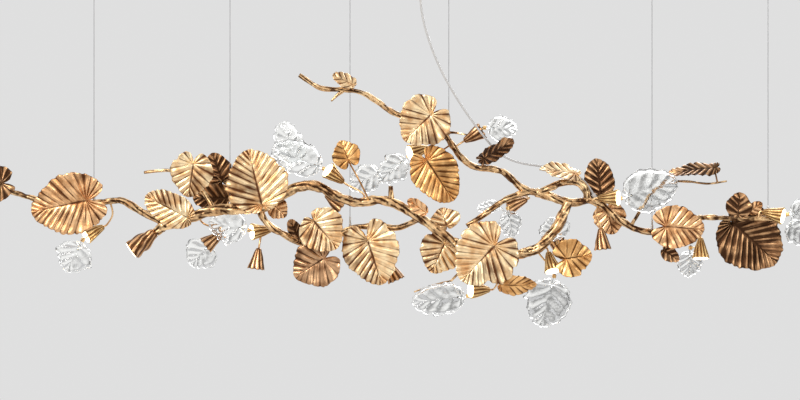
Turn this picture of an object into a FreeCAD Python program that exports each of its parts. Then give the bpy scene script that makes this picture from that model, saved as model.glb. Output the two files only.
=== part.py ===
import FreeCAD, Part

import math
import os

import Sketcher
from FreeCAD import Rotation, Vector

# Branch chandelier: a two metre cast branch with pleated metal leaves, ribbed lamp cups and
# glass leaves, hung level from six wires. Millimetres, +Z up, X along the branch, Y to the back.
# The origin is the middle of the top face of the canopy's mounting plate, on the ceiling.

doc = FreeCAD.newDocument("branch_chandelier")
sheet = doc.addObject("Spreadsheet::Sheet", "sizes")

# ---------------------------------------------------------------- driving dimensions

SIZES = {
    # canopy on the ceiling
    "canopy_radius": 60.0,
    "canopy_depth": 36.0,
    "canopy_wall": 1.2,
    "canopy_edge_round": 6.0,
    "plate_length": 92.0,
    "plate_width": 60.0,
    "plate_thickness": 2.0,
    "plate_hole_spacing": 80.0,
    "plate_hole_radius": 2.25,
    "terminal_offset": 18.0,
    "mains_hole_radius": 4.5,
    "tab_width": 14.0,
    "tab_drop": 14.0,
    "driver_length": 64.0,
    "driver_width": 32.0,
    "driver_height": 20.0,
    "driver_round": 2.0,
    "terminal_length": 34.0,
    "terminal_width": 14.0,
    "terminal_height": 11.0,
    "terminal_hole_radius": 1.6,
    "terminal_hole_spacing": 10.0,
    "screw_radius": 1.5,
    "screw_length": 6.0,
    "screw_head_radius": 3.0,
    "screw_head_height": 2.0,
    "screw_drop": 9.0,
    "grip_radius": 7.0,
    "grip_length": 14.0,
    "grip_thread_radius": 5.0,
    "grip_thread_length": 10.2,
    "grip_nose_radius": 4.125,
    # suspension
    "anchor_radius": 11.0,
    "anchor_flange": 6.0,
    "anchor_spigot_radius": 8.0,
    "anchor_spigot_length": 7.0,
    "anchor_recess_radius": 5.0,
    "anchor_hole_radius": 2.25,
    "cap_length": 20.0,
    "cap_floor": 4.0,
    "stop_radius": 2.6,
    "stop_length": 4.0,
    "wire_radius": 0.75,
    "ferrule_radius": 2.3,
    "ferrule_length": 15.0,
    "stud_radius": 3.2,
    "stud_height": 17.0,
    "cord_radius": 2.75,
    "gland_radius": 5.5,
    "gland_length": 15.0,
    # leaves
    "leaf_thickness": 1.3,
    "leaf_pleat": 2.4,
    "stalk_radius": 2.3,
    "stalk_tip_radius": 1.8,
    "glass_thickness": 4.2,
    "glass_pleat": 1.4,
    "pin_radius": 2.5,
    "pin_length": 17.0,
    # lamps
    "cup_mouth_radius": 21.5,
    "cup_base_radius": 5.5,
    "cup_length": 52.0,
    "end_cup_mouth_radius": 25.0,
    "end_cup_base_radius": 10.0,
    "end_cup_length": 74.0,
    "cup_floor": 10.0,
    "cup_wall": 1.6,
    "lamp_stem_radius": 2.6,
    "module_height": 7.0,
    "diffuser_height": 2.5,
    "diffuser_stand": 2.5,
    "clip_radius": 5.0,
    "clip_length": 9.0,
    "clip_arm_radius": 1.8,
    "grub_radius": 1.25,
    "grub_length": 3.4,
    # fits
    "pin_clearance": 0.06,
    "seat_clearance": 0.05,
    "screw_clearance": 0.2,
}

# Radius of each limb at its first and last station.
LIMB_ENDS = {
    "trunk_limb": (14.0, 10.5),
    "left_limb": (6.0, 9.5),
    "upper_limb": (5.5, 9.5),
    "right_limb": (10.5, 5.5),
    "lower_right_limb": (11.5, 13.0),
    "centre_twig": (8.0, 6.5),
    "rear_loop_limb": (8.5, 7.0),
    "left_twig": (3.4, 6.2),
    "right_twig": (4.5, 2.2),
}

# Length from the stalk to the tip, and half width, of each metal leaf.
LEAF_SIZES = {
    "left_end": (82.0, 50.0),
    "broad_left": (140.0, 77.0),
    "left_twig_front": (84.0, 53.0),
    "left_twig_dark": (75.0, 38.0),
    "left_twig_folded": (95.0, 38.0),
    "trunk_start": (118.0, 44.0),
    "tall_trunk": (140.0, 80.0),
    "under_trunk": (42.0, 28.0),
    "loop_front": (90.0, 60.0),
    "loop_dark": (58.0, 20.0),
    "loop_low": (84.0, 62.0),
    "loop_right": (116.0, 72.0),
    "trunk_hanging": (80.0, 56.0),
    "trunk_rear": (48.0, 40.0),
    "trunk_bud": (56.0, 18.0),
    "stalked_round": (50.0, 36.0),
    "great_front": (118.0, 80.0),
    "upper_bright": (92.0, 66.0),
    "upper_hanging": (120.0, 60.0),
    "upper_edge": (56.0, 32.0),
    "upper_dark": (86.0, 40.0),
    "fork_bright": (88.0, 42.0),
    "fork_upright": (94.0, 40.0),
    "fork_lower": (66.0, 42.0),
    "low_herringbone": (90.0, 36.0),
    "low_round": (64.0, 48.0),
    "right_high": (118.0, 34.0),
    "right_front": (96.0, 54.0),
    "right_large_dark": (152.0, 84.0),
    "right_upright": (56.0, 34.0),
    "right_small": (42.0, 16.0),
    "right_low_dark": (46.0, 20.0),
}

# The same for each glass leaf.
GLASS_SIZES = {
    "far_left": (72.0, 48.0),
    "left_low": (64.0, 46.0),
    "left_trunk": (86.0, 46.0),
    "long": (124.0, 46.0),
    "long_back": (106.0, 40.0),
    "middle": (78.0, 40.0),
    "middle_back": (80.0, 38.0),
    "low": (124.0, 44.0),
    "low_round": (110.0, 62.0),
    "fork": (130.0, 58.0),
    "right_end": (76.0, 30.0),
    "right_end_low": (72.0, 34.0),
    "upper": (68.0, 34.0),
    "twig": (62.0, 30.0),
    "twig_back": (54.0, 18.0),
    "rear": (50.0, 42.0),
    "right_low": (60.0, 34.0),
}

for leaf_name, (leaf_length, half_width) in LEAF_SIZES.items():
    SIZES[leaf_name + "_leaf_length"] = leaf_length
    SIZES[leaf_name + "_leaf_half_width"] = half_width

for leaf_name, (leaf_length, half_width) in GLASS_SIZES.items():
    SIZES[leaf_name + "_glass_length"] = leaf_length
    SIZES[leaf_name + "_glass_half_width"] = half_width

for limb_name, (first_radius, last_radius) in LIMB_ENDS.items():
    SIZES[limb_name + "_first_radius"] = first_radius
    SIZES[limb_name + "_last_radius"] = last_radius

row = 1
for alias, value in SIZES.items():
    sheet.set("A%d" % row, alias)
    sheet.set("B%d" % row, "%g" % value)
    sheet.setAlias("B%d" % row, alias)
    row += 1
doc.recompute()


def size(alias):
    """The value that the sheet holds under this alias."""
    return float(sheet.get(alias))


# ---------------------------------------------------------------- the front elevation

# Stations are drawn on the front elevation as (across, height, depth): where a viewer standing
# this far in front of the branch sees them. `station` carries one back along the line of sight.
VIEWER_DISTANCE = 6000.0
VIEWER_ACROSS = -50.0
VIEWER_HEIGHT = -590.0


def station(across, height, depth=0.0):
    spread = 1.0 + depth / VIEWER_DISTANCE
    return Vector(
        VIEWER_ACROSS + (across - VIEWER_ACROSS) * spread,
        depth,
        VIEWER_HEIGHT + (height - VIEWER_HEIGHT) * spread,
    )


# ---------------------------------------------------------------- geometry helpers


def faceted_solid(points, facets):
    """A closed solid of flat triangles."""
    shape = Part.Shape()
    shape.makeShapeFromMesh((points, facets), 0.001)
    solid = Part.Solid(shape)
    if solid.Volume < 0:
        solid.reverse()
    return solid


def curve_through(stations, spacing):
    """Points about `spacing` apart on a smooth curve through the stations."""
    ends = [stations[0] * 2 - stations[1]] + list(stations) + [stations[-1] * 2 - stations[-2]]
    path = []
    for before, start, end, after in zip(ends, ends[1:], ends[2:], ends[3:]):
        steps = max(1, round((end - start).Length / spacing))
        for step in range(steps):
            t = step / steps
            path.append(
                (start * 2 + (end - before) * t
                 + (before * 2 - start * 5 + end * 4 - after) * t ** 2
                 + (start * 3 - before - end * 3 + after) * t ** 3) * 0.5
            )
    path.append(stations[-1])
    return path


def square_to(direction):
    """Two unit vectors square to a direction and to each other."""
    helper = Vector(0, 0, 1) if abs(direction.z) < 0.8 else Vector(1, 0, 0)
    side = direction.cross(helper)
    side.normalize()
    return side, side.cross(direction)


def faceted_tube(path, radii, sides, groove=0.0, twist=0.0):
    """A tube along a path; every other edge is set in by `groove`, and the section twists."""
    points = []
    facets = []
    side = square_to(path[1] - path[0])[0]
    for index, centre in enumerate(path):
        ahead = path[min(index + 1, len(path) - 1)] - path[max(index - 1, 0)]
        ahead.normalize()
        side = side - ahead * side.dot(ahead)
        side.normalize()
        up = ahead.cross(side)
        for corner in range(sides):
            angle = 2 * math.pi * corner / sides + twist * index
            radius = radii[index] * (1 - groove * (corner % 2))
            points.append(centre + side * radius * math.cos(angle) + up * radius * math.sin(angle))
    for index in range(len(path) - 1):
        for corner in range(sides):
            here = index * sides + corner
            beside = index * sides + (corner + 1) % sides
            facets.append((here, beside, beside + sides))
            facets.append((here, beside + sides, here + sides))
    last = (len(path) - 1) * sides
    points += [path[0], path[-1]]
    for corner in range(sides):
        beside = (corner + 1) % sides
        facets.append((len(points) - 2, beside, corner))
        facets.append((len(points) - 1, last + corner, last + beside))
    return faceted_solid(points, facets)


def largest(shape):
    """The largest solid of a cut shape."""
    return max(shape.Solids, key=lambda solid: solid.Volume)


def cut_by(shape, others):
    """What is left of a shape outside the others that it meets."""
    for other in others:
        if shape.BoundBox.intersect(other.BoundBox):
            shape = largest(shape.cut(other))
    return shape


def add_feature(label, shapes):
    """One sub-part made of one or more separate solids."""
    feature = doc.addObject("Part::Feature", label)
    feature.Label = label
    feature.Shape = shapes[0] if len(shapes) == 1 else Part.Compound(shapes)
    return feature


# ---------------------------------------------------------------- limbs

RING_SPACING = 22.0
LIMB_SIDES = 10
BARK_GROOVE = 0.14
BARK_TWIST = 0.30

LIMB_STATIONS = {
    "trunk_limb": [
        (-637.6, -653.2, 0), (-587.5, -637.5, -3), (-525, -617.5, -4), (-450, -611, 0),
        (-395, -607.5, 0), (-350, -582.5, 4), (-305, -557.5, 4), (-270, -554, 2),
        (-235, -565, 0), (-200, -585, 0), (-155, -595, 2), (-100, -590, 4),
        (-50, -605, 2), (0, -635, 0), (50, -670, 0), (90, -700, 0),
    ],
    "left_limb": [
        (-1065, -554, -22), (-1000, -576, -22), (-937, -592, -18), (-862, -599, -10),
        (-800, -596, -6), (-755, -591, -4), (-725, -602, -2), (-692, -621, 0),
        (-650, -640, 2), (-614, -647, 0),
    ],
    "upper_limb": [
        (-302, -278, -15), (-275, -295, -17), (-245, -311, -20), (-187, -315, -20),
        (-145, -322, -16), (-105, -345, -10), (-62, -374, -5), (-12, -387, 0),
        (30, -407, 0), (62, -429, 0), (82, -455, 0), (105, -486, 2), (137, -507, 5),
        (175, -511, 4), (207, -519, 2), (235, -544, 0), (260, -562, 0), (296, -571, -2),
        (325, -560, -4), (352, -548, -4), (380, -544, -4), (402, -551, -3), (415, -569, -1),
        (419, -592, 2),
    ],
    "right_limb": [
        (290, -571, 0), (325, -581, 4), (350, -591, 5), (382, -596, 4), (420, -592, 2),
        (450, -600, 0), (475, -620, 5), (497, -639, 12), (525, -655, 24), (555, -666, 35),
        (587, -670, 40), (630, -662, 36), (670, -645, 28), (705, -634, 18), (750, -635, 8),
        (812, -637, 0), (862, -636, 0), (897, -637, 0),
    ],
    "lower_right_limb": [
        (82, -695, 0), (110, -709, 8), (137, -718, 14), (195, -725, 14), (250, -724, 5),
        (290, -712, 0), (320, -687, 0), (345, -652, 0), (362, -617, 2), (374, -594, 4),
    ],
    "centre_twig": [
        (283, -568, 0), (245, -576, -1), (207, -594, -3), (175, -616, -5), (145, -637, -6),
        (117, -655, -6),
    ],
    "rear_loop_limb": [
        (-402, -608, 0), (-392, -634, 5), (-370, -659, 12), (-335, -679, 28),
        (-300, -696, 45), (-260, -702, 65), (-220, -690, 85), (-185, -667, 95),
        (-150, -657, 92), (-105, -656, 80), (-62, -660, 62), (-30, -651, 40),
        (-8, -640, 16), (4, -638, 2),
    ],
    "left_twig": [
        (-690, -521, 20), (-655, -517, 20), (-620, -517, 18), (-580, -535, 14),
        (-545, -567, 10), (-522, -600, 4), (-514, -615, 0),
    ],
    "right_twig": [
        (527, -657, 26), (548, -620, 50), (580, -572, 64), (620, -546, 62), (670, -544, 54),
        (720, -549, 48), (767, -543, 45),
    ],
}

# Each limb is coped where it meets the limbs named here, and brazed there.
LIMB_MEETS = {
    "left_limb": ["trunk_limb"],
    "lower_right_limb": ["trunk_limb", "right_limb"],
    "rear_loop_limb": ["trunk_limb"],
    "left_twig": ["trunk_limb"],
    "right_limb": ["upper_limb"],
    "centre_twig": ["upper_limb", "right_limb"],
    "right_twig": ["right_limb"],
}


# The trunk starts on the base of the cup that closes its end.
END_CUP_MOUTH = (-720, -715, 0)
END_CUP_AXIS = (-0.8, 0, -0.6)


def limb_spine(name):
    points = [station(*point) for point in LIMB_STATIONS[name]]
    if name == "trunk_limb":
        reach = size("end_cup_length") + size("seat_clearance")
        points.insert(0, station(*END_CUP_MOUTH) - Vector(*END_CUP_AXIS) * reach)
    return curve_through(points, RING_SPACING)


def limb_radii(name, count):
    """An even taper with a knot every few rings."""
    first = size(name + "_first_radius")
    last = size(name + "_last_radius")
    radii = []
    for index in range(count):
        knot = 1.0 + 0.07 * math.cos(index * 2.1)
        radii.append((first + (last - first) * index / (count - 1)) * knot)
    return radii


spines = {name: limb_spine(name) for name in LIMB_STATIONS}
solid_limbs = {}
for name, spine in spines.items():
    solid_limbs[name] = faceted_tube(
        spine, limb_radii(name, len(spine)), LIMB_SIDES, BARK_GROOVE, BARK_TWIST)

limbs = {}
for name, whole in solid_limbs.items():
    limbs[name] = cut_by(whole, [solid_limbs[other] for other in LIMB_MEETS.get(name, [])])
    add_feature(name, [limbs[name]])


def nearest_on(name, point):
    """The point of a limb's spine that is nearest to a point."""
    return min(spines[name], key=lambda at: (at - point).Length)


# Short dead spurs: a start on the limb, an end, the limb, and the two radii.
SPURS = [
    ((-72, -593, 4), (-73, -555, 2), "trunk_limb", 7.5, 6.5),
    ((-190, -316, -20), (-222, -343, -22), "upper_limb", 5.0, 2.2),
    ((52, -421, -2), (118, -427, -26), "upper_limb", 4.0, 1.8),
    ((150, -722, 14), (78, -792, 72), "lower_right_limb", 4.0, 2.6),
    ((78, -792, 72), (-15, -820, 72), None, 2.6, 1.8),
]


def spur_solid(start, end, first_radius, last_radius):
    path = [station(*start), (station(*start) + station(*end)) * 0.5, station(*end)]
    path[1] = path[1] + Vector(0, 0, 2.5)
    return faceted_tube(path, [first_radius, (first_radius + last_radius) / 2, last_radius], 8)


short_spurs = []
for start, end, limb_name, first_radius, last_radius in SPURS:
    spur = spur_solid(start, end, first_radius, last_radius)
    if limb_name:
        short_spurs.append(cut_by(spur, [limbs[limb_name]]))
    else:
        short_spurs[-1] = largest(short_spurs[-1].fuse(spur))
add_feature("short_spurs", short_spurs)


# ---------------------------------------------------------------- leaves

LEAF_RIBS = 14
GLASS_RIBS = 11
LEAF_RINGS = (0.5, 1.0)
NOTCH_DEPTH = 0.8
NOTCH_ANGLE = 18.0
BACK_SHARE = 0.85
BODY_SHARE = 0.93
TIP_ANGLE = 14.0
DROOP = 0.10
FRONT = Vector(0, -1, 0)


def leaf_frame(base, tip, roll):
    """Unit vectors along the midrib, across the leaf and out of its face."""
    along = tip - base
    along.normalize()
    out = FRONT - along * FRONT.dot(along)
    out.normalize()
    out = Rotation(along, roll).multVec(out)
    return along, out.cross(along), out


def outline_reach(angle, length, half_width, lobe):
    """Distance from the stalk to the leaf's edge at an angle from the midrib.

    The leaf is an ellipse with a drawn-out tip, and a notch between its back lobes.
    """
    body = length * BODY_SHARE
    back = half_width * lobe * BACK_SHARE
    half_length = (body + back) / 2
    centre = (body - back) / 2
    cosine = math.cos(angle)
    sine = math.sin(angle)
    spread = (cosine / half_length) ** 2 + (sine / half_width) ** 2
    offset = centre * sine / (half_length * half_width)
    reach = (centre * cosine / half_length ** 2 + math.sqrt(spread - offset ** 2)) / spread
    degrees = abs(math.degrees(angle))
    reach *= 1 + (1 / BODY_SHARE - 1) * math.exp(-(degrees / TIP_ANGLE) ** 2)
    return reach * (1 - NOTCH_DEPTH * math.exp(-((180 - degrees) / NOTCH_ANGLE) ** 2))


def leaf_sheet(base, frame, length, half_width, lobe, fold, ribs, pleat, thickness):
    """A heart-shaped sheet, pleated from its stalk; `fold` lifts both halves, in degrees."""
    along, across, out = frame
    corners = 2 * ribs
    rise = math.tan(math.radians(fold))
    middle = []
    for ring in LEAF_RINGS:
        for corner in range(corners):
            angle = -math.pi + 2 * math.pi * corner / corners
            reach = outline_reach(angle, length, half_width, lobe) * ring
            lift = pleat * ring * (0.5 if corner % 2 else -0.5)
            lift += rise * abs(reach * math.sin(angle))
            lift -= DROOP * max(0.0, reach * math.cos(angle)) ** 2 / length
            middle.append(base + along * reach * math.cos(angle)
                          + across * reach * math.sin(angle) + out * lift)
    points = []
    for face in (0.5, -0.5):
        points.append(base + out * thickness * face)
        points += [point + out * thickness * face for point in middle]
    under = len(middle) + 1
    facets = []
    for corner in range(corners):
        here = 1 + corner
        beside = 1 + (corner + 1) % corners
        outer = here + corners
        outer_beside = beside + corners
        for triangle in ((0, here, beside), (here, outer, outer_beside), (here, outer_beside, beside)):
            facets.append(triangle)
            facets.append(tuple(under + index for index in reversed(triangle)))
        facets.append((outer, under + outer, under + outer_beside))
        facets.append((outer, under + outer_beside, outer_beside))
    return faceted_solid(points, facets)


def stalk(start, base, out, via=()):
    """A leaf's own stalk, from inside a limb to the back of the leaf."""
    side = out if (start - base).dot(out) > 0 else out * -1
    gap = (start - base).Length
    route = [start] + list(via) + [base + side * min(9.0, gap * 0.4), base]
    path = curve_through(route, 14.0)
    first = size("stalk_radius")
    last = size("stalk_tip_radius")
    radii = [first + (last - first) * index / (len(path) - 1) for index in range(len(path))]
    return faceted_tube(path, radii, 6)


def metal_leaf(name, base, toward, lobe, roll, fold, limb_name, via=()):
    base = station(*base)
    frame = leaf_frame(base, station(*toward), roll)
    sheet_solid = leaf_sheet(
        base, frame, size(name + "_leaf_length"), size(name + "_leaf_half_width"), lobe, fold,
        LEAF_RIBS, size("leaf_pleat"), size("leaf_thickness"))
    via = [station(*point) for point in via]
    start = nearest_on(limb_name, via[0] if via else base)
    leaf = largest(sheet_solid.fuse(stalk(start, base, frame[2], via)))
    return cut_by(leaf, [limbs[limb_name]])


# name, stalk end, a point that the tip looks to, back lobes, roll, fold, limb, bends of the stalk
LEAVES = {
    "left_limb_leaves": [
        ("left_end", (-1047, -549, -42), (-1127, -566, -42), 0.9, 18, 8, "left_limb"),
        ("broad_left", (-835, -592, -34), (-972, -620, -38), 0.85, 0, 4, "left_limb"),
    ],
    "left_twig_leaves": [
        ("left_twig_front", (-567, -500, -14), (-580, -582, -12), 0.75, 0, 6, "left_twig"),
        ("left_twig_dark", (-495, -541, 112), (-522, -471, 114), 0.6, -12, 0, "left_twig",
         [(-538, -543, 24), (-514, -526, 80)]),
        ("left_twig_folded", (-475, -586, 78), (-570, -584, 78), 0.3, 8, 0, "trunk_limb",
         [(-472, -590, 32)]),
    ],
    "trunk_leaves": [
        ("trunk_start", (-582, -634, -32), (-665, -592, -32), 0.5, -6, 0, "trunk_limb"),
        ("tall_trunk", (-395, -600, -30), (-430, -465, -34), 0.3, 0, 5, "trunk_limb"),
        ("under_trunk", (-365, -603, 22), (-335, -632, 24), 0.5, 0, 0, "trunk_limb"),
    ],
    "loop_front_leaf": [
        ("loop_front", (-265, -642, -14), (-207, -710, -18), 0.45, 0, 4, "rear_loop_limb",
         [(-252, -676, 24)]),
    ],
    "loop_low_leaves": [
        ("loop_low", (-242, -738, 14), (-310, -782, 10), 0.75, 0, -4, "rear_loop_limb"),
        ("loop_dark", (-300, -690, 34), (-325, -641, 28), 0.4, 0, 0, "rear_loop_limb"),
    ],
    "loop_right_leaf": [
        ("loop_right", (-130, -692, 34), (-95, -802, 30), 0.95, 0, 5, "rear_loop_limb"),
    ],
    "middle_trunk_leaves": [
        ("trunk_hanging", (62, -700, 30), (30, -767, 32), 0.7, 0, 4, "trunk_limb"),
        ("trunk_rear", (67, -655, 24), (52, -612, 26), 0.3, 0, 0, "trunk_limb"),
        ("trunk_bud", (15, -622, -8), (-30, -589, -8), 0.3, 0, 12, "trunk_limb"),
        ("stalked_round", (-180, -488, -46), (-197, -445, -46), 0.8, 8, 0, "trunk_limb",
         [(-130, -588, -8), (-150, -545, -30)]),
    ],
    "great_front_leaf": [
        ("great_front", (185, -705, -64), (107, -790, -70), 0.8, 0, 4, "lower_right_limb"),
    ],
    "upper_limb_leaves": [
        ("upper_bright", (27, -377, -44), (-37, -440, -46), 0.75, 0, 4, "upper_limb"),
        ("upper_hanging", (17, -492, -26), (82, -590, -24), 0.7, 0, 4, "upper_limb",
         [(80, -450, 2), (50, -470, 4)]),
        ("upper_edge", (-168, -302, -36), (-215, -275, -36), 0.3, 50, 0, "upper_limb"),
        ("upper_dark", (160, -485, -74), (235, -445, -76), 0.6, 58, 0, "upper_limb"),
    ],
    "fork_leaves": [
        ("fork_bright", (387, -525, -40), (302, -505, -40), 0.5, 60, 0, "upper_limb"),
        ("fork_upright", (452, -578, 44), (442, -490, 46), 0.4, 0, 10, "right_limb"),
        ("fork_lower", (470, -612, 36), (482, -675, 38), 0.5, 0, 0, "right_limb"),
    ],
    "lower_right_leaves": [
        ("low_herringbone", (202, -802, 4), (300, -808, 4), 0.3, 40, 0, "lower_right_limb"),
        ("low_round", (367, -737, -24), (430, -727, -26), 0.9, 0, 5, "lower_right_limb"),
    ],
    "right_limb_leaves": [
        ("right_high", (738, -510, 50), (620, -515, 54), 0.5, 58, 0, "right_twig"),
        ("right_front", (616, -656, -28), (711, -664, -30), 0.95, 0, 4, "right_limb"),
        ("right_large_dark", (782, -648, 34), (897, -750, 36), 0.4, 0, 4, "right_limb"),
        ("right_upright", (795, -626, -14), (800, -575, -14), 0.3, 0, 0, "right_limb"),
        ("right_small", (822, -620, 18), (854, -598, 20), 0.3, 0, 0, "right_limb"),
        ("right_low_dark", (610, -715, 22), (647, -742, 22), 0.4, 0, 0, "right_limb"),
    ],
}

for node, group in LEAVES.items():
    add_feature(node, [metal_leaf(*leaf) for leaf in group])

# ---------------------------------------------------------------- lamps

CUP_RIBS = 12
CUP_GROOVE = 0.10
CUP_FLARE = 0.85
CUP_STEPS = (0.0, 0.2, 0.5, 0.8, 1.0)


def cup_sizes(which):
    prefix = "end_cup" if which == "end" else "cup"
    return size(prefix + "_length"), size(prefix + "_base_radius"), size(prefix + "_mouth_radius")


def cup_radius(along, which):
    """Outer radius of a cup on its ribs, at a share of its length."""
    length, base_radius, mouth_radius = cup_sizes(which)
    return base_radius + (mouth_radius - base_radius) * along ** CUP_FLARE


def inner_radius(distance, which):
    """Radius of the cup's smooth inside, at a distance from its base."""
    length, base_radius, mouth_radius = cup_sizes(which)
    floor = size("cup_floor")
    wall = size("cup_wall")
    at_floor = cup_radius(floor / length, which) * (1 - CUP_GROOVE) - wall
    at_mouth = mouth_radius * (1 - CUP_GROOVE) - wall
    return at_floor + (at_mouth - at_floor) * (distance - floor) / (length - floor)


def inner_cone(base, axis, start, end, which, clearance=0.0):
    return Part.makeCone(
        inner_radius(start, which) - clearance, inner_radius(end, which) - clearance,
        end - start, base + axis * start, axis)


class Lamp:
    """A ribbed cup with its LED module and diffuser, on a stem from a limb."""

    def __init__(self, mouth, axis, limb_name, via=(), which="plain", on=None):
        self.which = which
        self.length = cup_sizes(which)[0]
        self.axis = Vector(*axis)
        self.axis.normalize()
        self.mouth = station(*mouth)
        self.base = self.mouth - self.axis * self.length
        path = [self.base + self.axis * self.length * share for share in CUP_STEPS]
        radii = [cup_radius(share, which) for share in CUP_STEPS]
        self.outside = faceted_tube(path, radii, 2 * CUP_RIBS, CUP_GROOVE)
        hollow = inner_cone(self.base, self.axis, size("cup_floor"), self.length, which)
        self.cup = self.outside.cut(hollow)
        face = self.length - size("diffuser_height")
        seat = size("seat_clearance")
        self.module = inner_cone(
            self.base, self.axis, face - size("module_height"), face, which, seat)
        lens_seat = inner_cone(self.base, self.axis, face, self.length, which, seat)
        lens = Part.makeCylinder(
            inner_radius(self.length, which) - seat, size("diffuser_stand"), self.mouth, self.axis)
        self.diffuser = lens_seat.fuse(lens).removeSplitter()
        self.stem = None
        if limb_name or on:
            self.stem = self.make_stem(limb_name, [station(*point) for point in via], on)

    def make_stem(self, limb_name, via, on):
        carrier = on.outside if on else limbs[limb_name]
        first = via[0] if via else self.base
        start = on.base + on.axis * on.length * 0.5 if on else nearest_on(limb_name, first)
        route = [start] + via + [self.base - self.axis * 8, self.base + self.axis * 2]
        path = curve_through(route, 14.0)
        whole = faceted_tube(path, [size("lamp_stem_radius")] * len(path), 8)
        return cut_by(whole, [carrier, self.outside])


lamps = {}
lamps["far_left"] = Lamp((-835, -680, 45), (-0.82, -0.35, -0.45), "left_limb", [(-768, -625, 20)])
lamps["left_low"] = Lamp(
    (-535, -703, 74), (-0.8, 0, -0.6), "trunk_limb", [(-555, -630, 20), (-540, -650, 62)])
lamps["left_trunk"] = Lamp(
    (-420, -670, 64), (-0.93, -0.35, -0.1), "rear_loop_limb", [(-358, -662, 34)])
lamps["long"] = Lamp((-230, -516, -8), (-0.74, -0.35, 0.57), "trunk_limb", [(-140, -575, 0)])
lamps["middle"] = Lamp((-25, -473, 30), (-0.9, -0.35, -0.26), "upper_limb", [(48, -432, 16)])
lamps["low"] = Lamp(
    (127, -815, -8), (-0.93, -0.35, 0), "lower_right_limb",
    [(196, -750, -30), (194, -795, -34)])
lamps["low_round"] = Lamp((332, -767, 8), (0.2, -0.35, -0.91), "lower_right_limb")
lamps["fork"] = Lamp((495, -585, -32), (0.94, -0.35, 0), "right_limb", [(432, -590, -16)])
lamps["right_end"] = Lamp(
    (907, -630, -32), (0.91, -0.35, -0.21), "right_limb", [(846, -634, -12)])
lamps["upper"] = Lamp((155, -417, -6), (0.87, 0, 0.5), "upper_limb", [(90, -456, -2)])
lamps["twig"] = Lamp((220, -607, 40), (-0.93, 0, -0.37), "centre_twig", [(266, -582, 24)])
lamps["rear"] = Lamp(
    (340, -690, 62), (-0.35, 0, 0.94), "lower_right_limb", [(296, -722, 22), (324, -750, 52)])
lamps["right_low"] = Lamp((702, -735, 32), (0, -0.12, -0.99), "right_limb", [(694, -655, 26)])
# This one has no stem: it sits on the end of the trunk.
lamps["trunk_end"] = Lamp(END_CUP_MOUTH, END_CUP_AXIS, None, which="end")
lamps["drop_left"] = Lamp(
    (-410, -761, 64), (-0.14, 0, -0.99), None, on=lamps["left_trunk"])
lamps["drop_right"] = Lamp(
    (457, -712, -18), (0.1, 0, -0.99), "right_limb", [(438, -622, -16)])
lamps["loop_side"] = Lamp((-60, -790, 80), (0.4, 0, -0.92), "rear_loop_limb")
lamps["under_trunk"] = Lamp(
    (-195, -607, 40), (0.8, 0, -0.6), "trunk_limb", [(-244, -566, 22)])

add_feature("lamp_cups", [lamp.cup for lamp in lamps.values()])
add_feature("lamp_stems", [lamp.stem for lamp in lamps.values() if lamp.stem])
add_feature("led_modules", [lamp.module for lamp in lamps.values()])
add_feature("lamp_diffusers", [lamp.diffuser for lamp in lamps.values()])

# ---------------------------------------------------------------- glass leaves on their pins

PIN_IN_GLASS = 6.0
PIN_BEYOND_CLIP = 2.0
CLIP_GAP = 3.0
ARM_SEAT = 0.45
LINK_RADIUS = 2.1
LINK_BOW = 6.0

# lamp, glass leaf, stalk end, a point that the tip looks to, roll; then any second leaf alike
GLASS_LEAVES = {
    "far_left": [("far_left", (-852, -707, 8), (-885, -770, 6), 0)],
    "left_low": [("left_low", (-532, -708, 112), (-575, -755, 114), 0)],
    "left_trunk": [("left_trunk", (-445, -662, 34), (-530, -645, 32), 0)],
    "long": [
        ("long", (-257, -505, 26), (-375, -457, 28), 0),
        ("long_back", (-307, -490, 46), (-352, -393, 48), 0),
    ],
    "middle": [
        ("middle", (-42, -492, 60), (-105, -542, 60), 0),
        ("middle_back", (-107, -522, 70), (-177, -560, 70), 0),
    ],
    "low": [("low", (102, -832, 24), (-22, -847, 24), 0)],
    "low_round": [("low_round", (330, -802, 54), (302, -910, 54), 0)],
    "fork": [("fork", (522, -580, 2), (647, -542, 4), 0)],
    "right_end": [
        ("right_end", (932, -622, 2), (1005, -600, 4), 0),
        ("right_end_low", (925, -655, 8), (980, -697, 8), 0),
    ],
    "upper": [("upper", (177, -410, 26), (245, -412, 26), 0)],
    "twig": [
        ("twig", (222, -625, 8), (232, -687, 6), 0),
        ("twig_back", (196, -604, 26), (142, -610, 26), 0),
    ],
    "rear": [("rear", (340, -680, 24), (327, -632, 24), 0)],
    "right_low": [("right_low", (675, -725, 70), (670, -785, 70), 0)],
}
GLASS_LOBE = 0.3


def glass_sheet(name, base, toward, roll):
    frame = leaf_frame(base, toward, roll)
    return leaf_sheet(
        base, frame, size(name + "_glass_length"), size(name + "_glass_half_width"), GLASS_LOBE,
        0, GLASS_RIBS, size("glass_pleat"), size("glass_thickness"))


def back_reach(name):
    """How far a glass leaf reaches behind its stalk."""
    angles = [math.radians(degrees) for degrees in range(90, 180, 5)]
    return max(
        -math.cos(angle) * outline_reach(
            angle, size(name + "_glass_length"), size(name + "_glass_half_width"), GLASS_LOBE)
        for angle in angles)


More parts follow.
